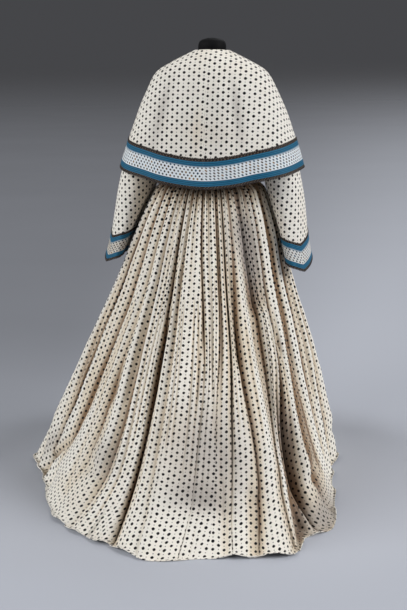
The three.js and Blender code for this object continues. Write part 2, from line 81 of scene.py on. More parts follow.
def mix(a, b, t):
    return a + (b - a) * t


def ease(value, low, high):
    """0 below low, 1 above high, and smooth between."""
    t = np.clip((value - low) / (high - low), 0, 1)
    return t * t * (3 - 2 * t)


def within(value, begins, full, falls, ends):
    """1 between full and falls, and 0 before it begins and after it ends."""
    return ease(value, begins, full) * (1 - ease(value, falls, ends))


def bump_at(value, middle, width):
    """1 at the middle, falling softly to 0 a few widths away."""
    return np.exp(-(((value - middle) / width) ** 2))


def wrapped(angle):
    """The same angle, from -180 to 180."""
    return (np.asarray(angle, float) + 180) % 360 - 180


def patches(rows, angle, share):
    """Soft patches added up. A row has the angle and the share down of a patch's middle, how much higher
    it gets for each degree round, its half width in degrees, its half height, and how much it is."""
    angle = wrapped(angle)
    return sum(
        amount * bump_at(angle, middle, wide) * bump_at(share + tilt * (angle - middle), level, tall)
        for middle, level, tilt, wide, tall, amount in rows
    )


def oval_radius(angle, side, depth, squareness):
    s = np.abs(np.sin(np.radians(angle))) / side
    c = np.abs(np.cos(np.radians(angle))) / depth
    return (s**squareness + c**squareness) ** (-1 / squareness)


def at_angle(angle, radius, height):
    a = np.radians(angle)
    return np.stack(np.broadcast_arrays(radius * np.sin(a), radius * np.cos(a), height), -1)


def outward(points):
    """The direction square to the cloth at each point of a sheet, away from the body."""
    across = np.gradient(points, axis=0)
    down = np.gradient(points, axis=1)
    square = np.cross(across, down)
    return square / np.maximum(np.linalg.norm(square, axis=-1, keepdims=True), 1e-9)


def lengths(points, axis):
    """Distances along the cloth from the first point of each line, down or across."""
    steps = np.linalg.norm(np.diff(points, axis=axis), axis=-1)
    start = np.zeros_like(np.take(steps, [0], axis=axis))
    return np.concatenate([start, np.cumsum(steps, axis=axis)], axis=axis)


def ripple(points, size, height, seed):
    """Slight unevenness of worn cloth, up to this height, in waves of about this size."""
    draw = np.random.default_rng(SEED + seed)
    total = np.zeros(points.shape[:-1])
    for _ in range(7):
        way = draw.normal(size=3)
        way *= draw.uniform(0.7, 1.5) / np.linalg.norm(way)
        total += np.sin(points @ way * 2 * np.pi / size + draw.uniform(0, 6.28))
    return total / 7 * height


# ---- finishes
def _sum(operation, reflected=False):
    def work(self, other):
        pair = (other, self) if reflected else (self, other)
        return self.finish.calc(operation, *pair)

    return work


class Reading:
    """One value that a finish works out; sums written with it add their Math nodes."""

    def __init__(self, finish, socket):
        self.finish = finish
        self.socket = socket

    __add__ = _sum("ADD")
    __radd__ = _sum("ADD", True)
    __sub__ = _sum("SUBTRACT")
    __rsub__ = _sum("SUBTRACT", True)
    __mul__ = _sum("MULTIPLY")
    __rmul__ = _sum("MULTIPLY", True)
    __truediv__ = _sum("DIVIDE")
    __pow__ = _sum("POWER")


class Finish:
    """A material and the nodes that give it its colour, weave and shine."""

    def __init__(self, name, **fixed):
        self.material = bpy.data.materials.new(name)
        self.material.use_nodes = True
        self.tree = self.material.node_tree
        self.shader = self.tree.nodes["Principled BSDF"]
        for socket, value in fixed.items():
            self.shader.inputs[socket.replace("_", " ")].default_value = value

    def node(self, kind, settings=None, inputs=None, output=0):
        node = self.tree.nodes.new(kind)
        for key, value in (settings or {}).items():
            if key == "stops":
                ramp = node.color_ramp
                for place, colour in value[1:-1]:
                    ramp.elements.new(place)
                for element, (place, colour) in zip(ramp.elements, value):
                    element.position = place
                    element.color = (*colour, 1)
            elif key == "steps":
                node.color_ramp.interpolation = value
            else:
                setattr(node, key, value)
        for key, value in (inputs or {}).items():
            if isinstance(value, Reading):
                self.tree.links.new(value.socket, node.inputs[key])
            else:
                node.inputs[key].default_value = value
        return Reading(self, node.outputs[output])

    def calc(self, operation, *values):
        return self.node("ShaderNodeMath", {"operation": operation}, dict(enumerate(values)))

    def ease(self, value, low, high):
        return self.node(
            "ShaderNodeMapRange",
            {"interpolation_type": "SMOOTHSTEP"},
            {"Value": value, "From Min": low, "From Max": high},
        )

    def between(self, value, low, high, soft):
        return self.ease(value, low - soft, low + soft) * (
            1 - self.ease(value, high - soft, high + soft)
        )

    def dye(self, mask, ground, colour):
        """The colour where the mask is 1, the ground where it is 0."""
        ends = [v if isinstance(v, Reading) else (*v, 1) for v in (ground, colour)]
        return self.node(
            "ShaderNodeMix", {"data_type": "RGBA"}, {0: mask, 6: ends[0], 7: ends[1]}, 2
        )

    def cut_place(self):
        """Where a point lies on the flat cut of its panel: across the grain and down it, metres."""
        flat = self.node("ShaderNodeUVMap", {"uv_map": "cut"})
        apart = self.node("ShaderNodeSeparateXYZ", None, {0: flat})
        return apart, Reading(self, apart.socket.node.outputs[1])

    def solid_place(self):
        return self.node("ShaderNodeTexCoord", None, None, "Object")

    def painted(self, word):
        """An amount stored on the cloth's points, such as how much painted shade a place in a fold takes.
        """
        return self.node("ShaderNodeAttribute", {"attribute_name": word}, None, "Fac")

    def cloud(self, vector, scale, detail=2.0):
        return self.node(
            "ShaderNodeTexNoise", None, {"Vector": vector, "Scale": scale, "Detail": detail}
        )

    def vector(self, x, y, z=0.0):
        return self.node("ShaderNodeCombineXYZ", None, {0: x, 1: y, 2: z})

    def feed(self, **sockets):
        for name, value in sockets.items():
            self.tree.links.new(value.socket, self.shader.inputs[name.replace("_", " ")])
        return self.material

    def done(self, colour, rough, height, distance, strength):
        """The finished material: its colour, its roughness and a fine relief."""
        relief = self.node(
            "ShaderNodeBump", None, {"Height": height, "Distance": distance, "Strength": strength}
        )
        return self.feed(Base_Color=colour, Roughness=rough, Normal=relief)


CREAM = (0.86, 0.83, 0.765)
WARM_AGE_TONE_AND_SHADE = (0.70, 0.60, 0.455)
PAINTED_FOLD_SHADE = (0.24, 0.150, 0.085)
PAINTED_SHADOW_GREY = (0.40, 0.365, 0.335)
PRINT_BLACK = (0.006, 0.005, 0.007)
PRINT_GREY = (0.12, 0.11, 0.10)
PRINT_ACROSS = 0.0166  # metres between two columns of the print
PRINT_DOWN = 0.0247  # metres between two marks of one column
PRINT_RADIUS = 0.0047
SMALL_PRINT_RADIUS = 0.0018
SPOT_SIZES = (0.88, 0.24)  # the least size of a mark, and how much more it may be, of its radius
SPOT_BLUR = 0.0006


def spots(finish, u, v, across, down, radius, shape=2.0):
    """Small round marks in staggered columns, each a little different."""
    column_place = u / across
    column = finish.calc("FLOOR", column_place)
    row_place = v / down + finish.calc("FRACT", column * 0.5)
    row = finish.calc("FLOOR", row_place)
    chance = finish.node("ShaderNodeTexWhiteNoise", {"noise_dimensions": "2D"},
                         {"Vector": finish.vector(column, row)})
    x = (finish.calc("FRACT", column_place) - 0.5) * across
    y = (finish.calc("FRACT", row_place) - 0.5) * down
    far = (
        finish.calc("ABSOLUTE", x) ** shape + finish.calc("ABSOLUTE", y) ** shape
    ) ** (1 / shape)
    edge = radius * SPOT_SIZES[0] + chance * (radius * SPOT_SIZES[1])
    outside = finish.calc("MAXIMUM", (far - edge) / SPOT_BLUR + 0.5, 0.0)
    return 1 - finish.calc("MINIMUM", outside, 1.0), chance


def weave_height(finish, u, v):
    """Plain weave with slubs, as fine threads across and down."""
    warp = finish.cloud(finish.vector(u * 1400, v * 130), 1.0, 1.0)
    weft = finish.cloud(finish.vector(u * 130, v * 1400, 7.0), 1.0, 1.0)
    return warp + weft


def printed_cloth(name, strength):
    """Cream wool and cotton cloth with small black printed marks, painted shade in its folds and painted
    shadow in wide patches; strength 1 is the right side.
    """
    finish = Finish(name, Sheen_Weight=0.06, Sheen_Roughness=0.5, Specular_IOR_Level=0.15)
    u, v = finish.cut_place()
    marks, _ = spots(finish, u, v, PRINT_ACROSS, PRINT_DOWN, PRINT_RADIUS, 1.6)
    small, _ = spots(finish, u, v + PRINT_DOWN / 2, PRINT_ACROSS, PRINT_DOWN, SMALL_PRINT_RADIUS)
    # The fold amount is painted shade: warm in shallow folds and brown deep in them.
    fold = finish.painted("fold")
    age = finish.cloud(finish.solid_place(), 5.0, 3.0)
    # Random warm age toning of the cloth.
    ground = finish.dye(finish.ease(age, 0.45, 0.80) * 0.40, CREAM, WARM_AGE_TONE_AND_SHADE)
    ground = finish.dye(finish.ease(fold, 0.07, 0.50) * 0.8, ground, WARM_AGE_TONE_AND_SHADE)
    ground = finish.dye(finish.ease(fold, 0.40, 1.0), ground, PAINTED_FOLD_SHADE)
    # Wide patches of painted shadow turn the ground grey.
    ground = finish.dye(finish.painted("dull"), ground, PAINTED_SHADOW_GREY)
    ground = finish.dye(small * (0.75 * strength), ground, PRINT_GREY)
    colour = finish.dye(marks * strength, ground, PRINT_BLACK)
    return finish.done(colour, age * 0.1 + 0.78, weave_height(finish, u, v), 0.0003, 0.35)


BLUE_DARK = (0.006, 0.060, 0.120)
BLUE_LIGHT = (0.022, 0.190, 0.340)
BAND_WHITE = (0.74, 0.79, 0.82)
BAND_PAINTED_SHADE = (0.50, 0.42, 0.30)
PICOT_BROWN = (0.012, 0.008, 0.006)
PICOT_LIGHT = (0.55, 0.44, 0.36)
# Where the zones of the border end, in metres down from its top edge.
BAND_ZONES = (0.0050, 0.0215, 0.0680, 0.0855)
BAND_WIDTH = 0.0925
BAND_BLUR = 0.0005
RIB_PITCH = 0.0055
# The inks of its small marks, and the chance from which each is used.
BAND_INKS = [
    (0.0, (0.008, 0.014, 0.035)), (0.50, (0.045, 0.020, 0.010)),
    (0.78, (0.20, 0.12, 0.055)), (0.88, (0.012, 0.055, 0.11)),
]
BAND_SPOTS = (0.0066, 0.0178, 0.0031)  # between columns, between marks of a column, radius


def border_band(name):
    """Woven border: blue ribbed bands, a white middle with small marks, brown cord edges."""
    finish = Finish(name, Sheen_Weight=0.03, Sheen_Roughness=0.4, Specular_IOR_Level=0.2)
    u, v = finish.cut_place()
    top, blue_end, white_end, low = BAND_ZONES
    rib = finish.calc("SINE", v * (2 * math.pi / RIB_PITCH)) * 0.5 + 0.5
    mottle = finish.cloud(finish.vector(u * 60, v * 500), 1.0, 2.0)
    # The blue is painted lighter on each rib and darker between them, as painted light and shade, and
    # mottled at random.
    blue = finish.dye(rib * 0.75 + (mottle - 0.5) * 0.6, BLUE_DARK, BLUE_LIGHT)
    marks, chance = spots(finish, u, v, *BAND_SPOTS)
    inks = finish.node("ShaderNodeValToRGB", {"steps": "CONSTANT", "stops": BAND_INKS}, {0: chance})
    # The white middle takes a beige painted shade where the fold amount is set.
    middle = finish.dye(marks, finish.dye(finish.painted("fold"), BAND_WHITE, BAND_PAINTED_SHADE), inks)
    white = finish.between(v, blue_end, white_end, BAND_BLUR)
    colour = finish.dye(white, blue, middle)
    line = finish.between(v, blue_end + 0.001, blue_end + 0.0035, 0.0004)
    colour = finish.dye(line * 0.6, colour, BLUE_LIGHT)
    edges = 1 - finish.between(v, top, low, BAND_BLUR)
    colour = finish.dye(edges, colour, PICOT_BROWN)
    # Light points along the cord edges, one to each picot.
    light_points, _ = spots(finish, u, v + 0.0002, PICOT_PITCH * MM, PICOT_PITCH * MM, 0.0011)
    colour = finish.dye(light_points * edges * 0.5, colour, PICOT_LIGHT)
    threads = weave_height(finish, u, v) + rib * (1 - white)
    return finish.done(colour, mottle * 0.15 + 0.55, threads, 0.0004, 0.5)


def plain_reverse(name):
    """The unprinted back of the border, where the threads float."""
    finish = Finish(name, Sheen_Weight=0.15, Specular_IOR_Level=0.25)
    u, v = finish.cut_place()
    tone = finish.cloud(finish.vector(u * 300, v * 900), 1.0, 2.0)
    colour = finish.dye(tone * 0.5, (0.42, 0.42, 0.42), (0.60, 0.60, 0.58))
    return finish.done(colour, tone * 0.1 + 0.8, weave_height(finish, u, v), 0.0003, 0.4)


def cord_edge(name):
    """Dark brown silk cord."""
    finish = Finish(name, Sheen_Weight=0.05, Specular_IOR_Level=0.3)
    strands = finish.cloud(finish.solid_place(), 900.0, 1.0)
    colour = finish.dye(strands, (0.010, 0.006, 0.005), (0.040, 0.025, 0.018))
    return finish.done(colour, strands * 0.2 + 0.45, strands, 0.0004, 0.6)


def black_jersey(name):
    """Fine black knit stretched over the form."""
    finish = Finish(name, Sheen_Weight=0.0, Specular_IOR_Level=0.08)
    place = finish.solid_place()
    knit = finish.node(
        "ShaderNodeTexVoronoi", {"feature": "SMOOTH_F1"}, {"Vector": place, "Scale": 620.0}
    )
    # Random wear of the knit, darker and lighter.
    wear_and_painted_shade = finish.cloud(place, 14.0, 4.0)
    colour = finish.dye(wear_and_painted_shade, (0.003, 0.003, 0.004), (0.009, 0.009, 0.010))
    return finish.done(colour, wear_and_painted_shade * 0.2 + 0.55, knit, 0.0006, 0.5)


def painted_steel(name):
    """Dark enamelled steel of the stand, rubbed a little."""
    finish = Finish(name, Metallic=0.0, Specular_IOR_Level=0.5, Coat_Weight=0.15)
    place = finish.solid_place()
    rubbed = finish.cloud(place, 22.0, 5.0)
    grain = finish.cloud(place, 420.0, 2.0)
    colour = finish.dye(finish.ease(rubbed, 0.5, 0.75), (0.030, 0.031, 0.034), (0.085, 0.084, 0.082))
    return finish.done(colour, rubbed * 0.25 + 0.32, grain, 0.0002, 0.3)


FLOOR_NEAR = (0.500, 0.525, 0.590)
FLOOR_FAR = (0.075, 0.076, 0.082)
FLOOR_SHADE = 0.60  # how much darker the floor is on the wearer's left
FLOOR_RADIUS = 190.0
FLOOR_GLOW = 0.5  # how much of the floor's tone does not depend on the dress's own shadow
FLOOR_DARK = (0.03, 0.031, 0.034)
NEAREST = 0.5  # the least distance that is told apart, in metres


def studio_floor(name):
    """Grey studio floor with painted light: palest at the dress and painted darker away from it and on
    the wearer's left, with part of its tone glowing so the dress's shadow on it is fainter; it ends
    without a line.
    """
    finish = Finish(name, Specular_IOR_Level=0.1, Emission_Strength=0.9)
    place = finish.solid_place()
    aside = finish.node("ShaderNodeSeparateXYZ", None, {0: place})
    depth, far, near = (
        finish.node("ShaderNodeVectorMath", {"operation": "DISTANCE"}, {0: place, 1: (0, y, 0)}, 1)
        for y in (4.2, 0, 0.25)
    )
    depth = finish.calc("MAXIMUM", depth, NEAREST)
    steps = finish.calc("LOGARITHM", depth, 10.0)
    # Painted light: the floor is painted darker away from the dress.
    tone = finish.dye(finish.ease(steps, 0.58, 2.0), FLOOR_NEAR, FLOOR_FAR)
    # Painted shade on the wearer's left.
    shade = finish.ease(aside / depth, -0.10, 0.18) * finish.ease(steps, 0.47, 0.80)
    cloudy = finish.cloud(place, 0.7, 3.0)
    tone = finish.dye(shade * FLOOR_SHADE + (cloudy - 0.5) * 0.05, tone, FLOOR_DARK)
    # Part of the tone glows as painted light, so the dress's shadow on it is fainter.
    glow = finish.ease(near, 0.74, 1.05) * FLOOR_GLOW
    dark = (0.0, 0.0, 0.0)
    return finish.feed(
        Base_Color=finish.dye(glow, tone, dark),
        Emission_Color=finish.dye(glow, dark, tone),
        Roughness=cloudy * 0.1 + 0.8,
        Alpha=1 - finish.ease(finish.calc("LOGARITHM", far, 10.0), 1.05, 2.27),
    )


# ---- camera, light and floor
CAMERA_PLACE = (-0.5973, 3.9553, 1.4)
CAMERA_DOWN = 12.23
CAMERA_HEADING = 189
CAMERA_LENS = 69.6


def placed(name, data):
    thing = bpy.data.objects.new(name, data)
    bpy.context.scene.collection.objects.link(thing)
    return thing


def new_piece(name, bm, finishes):
    mesh = bpy.data.meshes.new(name)
    bm.to_mesh(mesh)
    bm.free()
    for finish in finishes:
        mesh.materials.append(finish)
    mesh.shade_smooth()
    return placed(name, mesh)


def add_camera():
    data = bpy.data.cameras.new("camera")
    data.sensor_fit = "VERTICAL"
    data.sensor_height = 36
    data.lens = CAMERA_LENS
    data.clip_end = 400
    camera = placed("camera", data)
    camera.location = CAMERA_PLACE
    camera.rotation_euler = (math.radians(90 - CAMERA_DOWN), 0, math.radians(CAMERA_HEADING))
    bpy.context.scene.camera = camera


def soft_light(name, toward, spread, power, colour):
    """A far, wide light. toward is the way to it, spread how many degrees wide it looks."""
    data = bpy.data.lights.new(name, "SUN")
    data.energy = power
    data.angle = math.radians(spread)
    data.color = colour
    placed(name, data).rotation_euler = Vector(toward).to_track_quat("Z", "Y").to_euler()


def add_lights():
    soft_light("left_light", (0.98, 0.20, 0.55), 34, 1.20, (1.0, 0.99, 0.965))
    soft_light("left_camera_light", (0.60, 0.75, 0.60), 34, 1.18, (1.0, 0.99, 0.97))
    soft_light("right_light", (-1.0, 0.14, 0.56), 36, 2.40, (1.0, 0.99, 0.975))
    soft_light("far_side_light", (-0.2, -1.0, 0.9), 40, 0.6, (0.97, 0.98, 1.0))
    world = bpy.data.worlds.new("studio")
    world.use_nodes = True
    world.node_tree.nodes["Background"].inputs["Color"].default_value = (0.060, 0.061, 0.066, 1)
    bpy.context.scene.world = world
    bpy.context.scene.view_settings.view_transform = "Standard"


def add_floor():
    bm = bmesh.new()
    bmesh.ops.create_circle(bm, cap_ends=True, segments=96, radius=FLOOR_RADIUS)
    new_piece("studio_floor", bm, [studio_floor("studio_floor")])


# ---- cloth
def cloth_panel(name, points, cut, finishes, shell=SHELL, fold=None, dull=None, joined=False):
    """A panel laid as the garment holds it. points[column][row] is the place of its right side, and
    cut[column][row] what part of the flat cut lies there, or cut[1] for the cells after a break."""
    columns, rows = points.shape[0] - 1, points.shape[1] - 1
    bm = bmesh.new()
    bmesh.ops.create_grid(bm, x_segments=columns, y_segments=rows, size=0.5)
    piece = new_piece(name, bm, finishes)
    mesh = piece.data
    flat = np.empty(len(mesh.vertices) * 3, np.float32)
    mesh.vertices.foreach_get("co", flat)
    flat = flat.reshape(-1, 3)
    column = np.rint((0.5 - flat[:, 0]) * columns).astype(int)
    row = np.rint((0.5 - flat[:, 1]) * rows).astype(int)
    mesh.vertices.foreach_set("co", (points[column, row] * MM).astype(np.float32).ravel())
    corner = np.empty(len(mesh.loops), np.int32)
    mesh.loops.foreach_get("vertex_index", corner)
    cell = np.repeat(column[corner].reshape(-1, 4).min(axis=1), 4)
    places = cut[cell, column[corner] - cell, row[corner]]
    mesh.uv_layers.new(name="cut").data.foreach_set("uv", places.astype(np.float32).ravel())
    # The amounts stored here are painted shade: fold for the folds, the other for wide patches of painted
    # shadow.
    for word, amount in (("fold", fold), ("dull", dull)):
        if amount is not None:
            values = mesh.attributes.new(word, "FLOAT", "POINT").data
            values.foreach_set("value", amount[column, row].astype(np.float32))
    if joined:
        bm = bmesh.new()
        bm.from_mesh(mesh)
        bmesh.ops.remove_doubles(bm, verts=bm.verts, dist=1e-5)
        bm.to_mesh(mesh)
        bm.free()
    mesh.update()
    wall = piece.modifiers.new("wall", "SOLIDIFY")
    wall.thickness = shell * MM
    wall.offset = -1
    wall.material_offset = 1
    return piece


def plain_cut(u, v):
    """The cut of a panel with no break in its print: both sides of every cell read the same."""
    whole = np.stack([u, v], -1) * MM
    return np.stack([whole[:-1], whole[1:]], 1)


def own_cut(points, middle=0):
    """The cut of a fitted panel, measured from one of its columns and from its top edge."""
    over = lengths(points, 0)
    return plain_cut(over - over[middle], lengths(points, 1))


def raised(points, depth):
    """A sheet of points moved out, square to the cloth."""
    return points + outward(points) * depth


# ---- skirt
SKIRT_REACH = np.array([
    # angle, radius where the line meets the floor, radius of the hem, outward swell of the line
    (-180, 415, 422, 38), (-140, 425, 432, 38), (-110, 440, 447, 36), (-92, 440, 450, 37),
    (-76, 438, 449, 30), (-62, 484, 500, 20), (-55, 535, 553, 10), (-48, 600, 620, 0),
    (-41, 685, 712, -14), (-35, 775, 805, -30), (-28, 785, 815, -34), (-23.5, 905, 938, -40),
    (-19, 902, 934, -43), (-12, 888, 920, -45), (-6, 882, 914, -46), (-1, 912, 944, -46),
    (4, 915, 948, -46), (8, 872, 904, -44), (13, 850, 882, -42), (18, 820, 852, -38),
    (24, 786, 817, -33), (30, 756, 784, -26), (36, 706, 732, -18), (43, 660, 682, -8),
    (52, 622, 640, 4), (62, 608, 622, 13), (74, 614, 632, 20), (85, 572, 586, 25),
    (98, 496, 506, 31), (115, 452, 460, 37), (145, 428, 436, 38), (180, 415, 422, 38),
])
LEVELS = (0, 0.39, 0.76, 1)  # waist, hip, knee, hem, as shares of the way down the cloth
VALLEYS = np.array([
    # angle at waist, hip, knee, hem; depth at waist, hip, knee, hem; where the crest after it lies
    (-174, -174, -174, -174, 7, 17, 20, 9, 0.5), (-162, -161, -162, -162, 8, 19, 23, 10, 0.45),
    (-150, -151, -149, -149, 7, 16, 21, 9, 0.55), (-138, -137, -136, -134, 8, 20, 24, 10, 0.5),
    (-125, -124, -121, -116, 7, 18, 22, 9, 0.45), (-112, -109, -104, -98, 8, 20, 24, 9, 0.5),
    (-99, -94, -86, -78, 8, 19, 22, 8, 0.55), (-86, -77, -66, -58, 8, 22, 25, 9, 0.4),
    (-71, -56.5, -37.5, -45, 9, 24, 26, 9, 0.45), (-55.5, -42.5, -30, -33.5, 9, 25, 36, 10, 0.4),
    (-46, -37.5, -27.7, -27.5, 7, 4, 1, 2, 0.5), (-38, -33, -25.1, -24.8, 8, 18, 17, 9, 0.6),
    (-26, -19.5, -19.2, -16.7, 6, 16, 26, 10, 0.6), (-18.3, -16.4, -13.2, -12.2, 9, 26, 19, 2, 0.3),
    (-12, -11.9, -9.2, -7.7, 8, 16, 12, 2, 0.5), (-5, -8, -7.2, -4.5, 6, 3, 1, 1, 0.5),
    (2.5, -4.8, -5, -1.8, 8, 16, 16, 4, 0.4), (8, 1.6, -0.7, 1.3, 7, 3, 1, 1, 0.5),
    (13, 7.8, 4.8, 4.6, 8, 12, 14, 6, 0.5), (20.5, 13.8, 9.8, 10.8, 10, 32, 38, 10, 0.35),
    (26, 19, 13.2, 19, 6, 4, 2, 2, 0.5), (31.5, 24.5, 18.5, 24.6, 9, 26, 28, 8, 0.4),
    (43, 36, 27.5, 34, 9, 24, 26, 8, 0.45), (54, 50, 46, 49, 9, 24, 26, 9, 0.45),
    (65, 68, 62, 57, 8, 20, 24, 12, 0.5), (76, 78, 73, 68, 8, 18, 22, 10, 0.5),
    (87, 88, 84, 80, 7, 20, 23, 9, 0.5), (99, 99, 96, 93, 8, 18, 22, 9, 0.45),
    (111, 110, 109, 106, 7, 20, 24, 10, 0.5), (124, 123, 122, 120, 8, 17, 21, 9, 0.55),
    (137, 137, 136, 134, 7, 20, 24, 9, 0.5), (149, 150, 149, 148, 8, 18, 22, 10, 0.45),
    (161, 161, 162, 161, 7, 19, 23, 9, 0.5), (173, 173, 174, 173, 8, 17, 20, 9, 0.5),
])
FOLD_COUNT = len(VALLEYS)
FLOOR_SHARE = 0.94  # where, on the way down, the cloth meets the floor
LEAST_RUN = 3  # the least length of cloth that lies on the floor
FOOT_OUT = 0.75  # how much of the way out to the hem the worn cloth meets the floor
BEND_LENGTH = 120
BEND_SHARE = 0.8
BEND_ABOVE = 1.3
WAIST_PUFF = 30  # how far the gathers stand out just below the waistband
PUFF_SPAN = (0, 0.06, 0.1, 0.42)  # on the way down, where that begins, is full, falls and ends
FOLD_STEPS = 18  # columns of cloth across one fold
SKIRT_STEPS = 147  # rows of points from the waist to the floor
HEM_ROWS = (0.955, 0.97, 0.985, 1)  # the rows past it, as shares
REACH_BLEND = (-1.6, -0.8, 0, 0.8, 1.6)
DEEP_FOLD = 10  # a valley at least this deep at the knee hides a break in the print
FLOOR_REST = 2.0  # the right side of cloth that lies on the floor
FOLD_DEEPEN = 1.2  # how much deeper the worn folds are than the stiff panel's
DEEP_SPAN = (0.02, 0.12, 0.80, 0.94)
GATHERS = 3  # small gathers to one fold, under the waistband
GATHER_DEPTH = 4.8
GATHER_FADE = 6  # how fast they fade on the way down
SOFT_FOLDS = 1.5  # soft folds to a wide one
SOFT_FOLD_DEPTH = 2.4
SOFT_SPAN = (0.12, 0.4, 0.8, 0.94)
WIDE_RIPPLE = (150, 2.4, 1)  # size, height, seed
CLOSE_RIPPLE = (60, 1.3, 2)
HEM_NOTCH = 1.2  # how far the hem draws in at a valley, for each mm of its depth
NOTCH_FROM = (0.84, 0.94)
LIFT_FROM = (0.86, 0.955)
SEAM_INSET = 0.004  # how far a breadth's edge keeps from its last valley, as a part of a fold
FULLNESS = (0.5, 0.85)  # from the roundest fold to the flattest
SHARPNESS = (0.1, 1.0)  # how much of a fold is straight-sided
CREASES = (
    # where the two creases of a fold lie across it, how wide, how deep each is, where they begin and end
    (0.18, 0.42), (0.58, 0.82), (0.05, 0.10), (3.0, 8.0), (3.0, 8.0), (0.0, 0.35), (0.55, 0.95),
)
# Places where the cloth breaks across its folds, as patches: how much is how far it sinks.
CLOTH_BREAKS = [
    (-7, 0.832, 0.0018, 7, 0.018, 10), (-16.5, 0.8, 0.002, 4, 0.016, 10),
    (4, 0.840, -0.001, 4.5, 0.018, 8), (24, 0.790, 0.001, 4, 0.018, 10),
    (-38, 0.815, -0.002, 5, 0.020, 15), (58, 0.900, 0, 5, 0.018, 8),
    (84, 0.84, 0, 6, 0.02, 7), (-96, 0.86, 0.001, 7, 0.02, 7),
    (-150, 0.88, 0, 7, 0.02, 6), (142, 0.87, 0, 7, 0.02, 6),
]
BREAK_SWELL = 0.7  # how far the cloth stands out above a break, as a part of its depth
LEAST_FOLD_SHADE = (36, 22)  # where the painted fold shade of the upper skirt is weakest: angle, half width
# Hollows and, where the depth is negative, raised edges that run down the skirt: angle and share
# where each begins, angle and share where it ends, half width in degrees, depth.
HOLLOWS = [
    (-34, 0.5, -26.8, 0.99, 2.6, 40), (46, 0.75, 62, 0.96, 2.6, 28),
    (10.8, 0.21, 14.4, 0.43, 0.9, -10), (-20.5, 0.62, -27, 0.82, 1.4, -10),
    (-41, 0.3, -43, 0.54, 1.1, 10), (-17.8, 0.68, -16, 0.97, 1.3, 16),
    (-11.4, 0.66, -10.8, 0.97, 0.9, 12), (28.5, 0.3, 21, 0.62, 1.1, 9),
    (36, 0.6, 31, 0.9, 1.5, 12), (-4.6, 0.25, -4, 0.6, 0.8, 9),
    (70, 0.3, 66, 0.8, 1.8, 12), (-62, 0.35, -48, 0.8, 1.8, 12),
    (-38, 0.06, -35, 0.38, 7, 24), (-35, 0.78, -37, 1.02, 4, 24),
    (13.9, 0.15, 11, 0.62, 1, 14), (-19.4, 0.12, -18.6, 0.5, 1.2, 16), (46, 0.2, 38, 0.62, 1.6, 12),
    (36, 0.22, 28, 0.64, 1.3, 12), (-8.6, 0.3, -9.4, 0.7, 0.9, 9),
]
# Wide patches of painted shadow on the skirt.
PAINTED_SHADOW_PATCHES = [
    (-7, 0.695, 0, 10.5, 0.125, 0.78), (-14.5, 0.73, 0, 4.5, 0.06, 0.2),
    (-6.5, 0.8, 0.0018, 6.5, 0.034, 0.62), (-36, 0.16, 0, 14, 0.08, 0.9),
    (-38, 0.26, 0, 8, 0.08, 0.75), (-36, 0.91, 0, 8, 0.05, 0.9),
    (21, 0.755, 0, 6, 0.05, 0.5), (-46, 0.94, 0, 6, 0.04, 0.5),
    (63, 0.85, -0.006, 7, 0.05, 0.6), (-32, 0.68, 0, 4.5, 0.12, 0.5),
    (150, 0.55, 0, 12, 0.14, 0.25), (-120, 0.6, 0, 12, 0.14, 0.25),
]
# Places where the cloth spreads flat towards the hem: angle, half width in degrees, share where it
# begins, share where it is flattest, how much of the folds is gone.
FLAT_PLACES = [
    (38, 15, 0.7, 0.88, 0.78), (-2, 10, 0.58, 0.82, 0.55), (-14, 5, 0.84, 0.94, 0.3),
    (27, 10, 0.12, 0.4, 0.35), (-8.5, 4.5, 0.4, 0.6, 0.7),
]
# Where the hem stands off the floor: angle, half width in degrees, height.
HEM_LIFTS = [
    (-12.2, 2.4, 12), (-19.6, 3.0, 13), (6.0, 2.2, 6), (27.0, 2.0, 9), (20.0, 1.8, 9), (12.0, 1.6, 8),
    (-33.0, 3.0, 6), (60.0, 3.0, 8), (95.0, 4.0, 6), (-90.0, 4.0, 6), (150.0, 5.0, 6),
]


def reach_round(column, angle):
    """One column of the reach table, read round the body and eased over its corners."""
    return sum(
        np.interp(wrapped(angle + off), SKIRT_REACH[:, 0], SKIRT_REACH[:, column])
        for off in REACH_BLEND
    ) / len(REACH_BLEND)


def crest_line(angle, share):
    """Where the crest of a fold runs: radius, height, outward lean and how upright it is."""
    waist = oval_radius(angle, WAIST_SIDE, WAIST_DEPTH, 2)
    foot, hem, swell = (reach_round(column, angle) for column in (1, 2, 3))
    foot = mix(foot, hem, FOOT_OUT)
    slant = np.hypot(foot - waist, WAIST_HEIGHT)
    run = np.maximum(hem - foot, LEAST_RUN)
    along = np.where(
        share < FLOOR_SHARE,
        slant * share / FLOOR_SHARE,
        slant + run * (share - FLOOR_SHARE) / (1 - FLOOR_SHARE),
    )
    out = (foot - waist) / slant
    fall = WAIST_HEIGHT / slant
    after = np.minimum(BEND_LENGTH, BEND_SHARE * run)
    before = BEND_ABOVE * after
    above = along < slant
    radius = np.where(above, waist + out * along, foot + along - slant)
    height = np.where(above, WAIST_HEIGHT - fall * along, 0)
    level = np.where(above, 1.0, 0.0)
    t = (along - slant + before) / (before + after)
    bent = (t > 0) & (t < 1)
    start = foot - out * before
    bend = (1 - t) ** 2 * start + 2 * t * (1 - t) * foot + t**2 * (foot + after)
    radius = np.where(bent, bend, radius)
    height = np.where(bent, (1 - t) ** 2 * fall * before, height)
    level = np.where(bent, 1 - t, level)
    bulge = swell * np.sin(np.pi * np.clip(along / slant, 0, 1))
    bulge = bulge + WAIST_PUFF * within(share, *PUFF_SPAN)
    lean = level * fall
    return radius + bulge * fall, height + bulge * out, level, lean, np.sqrt(1 - lean**2)


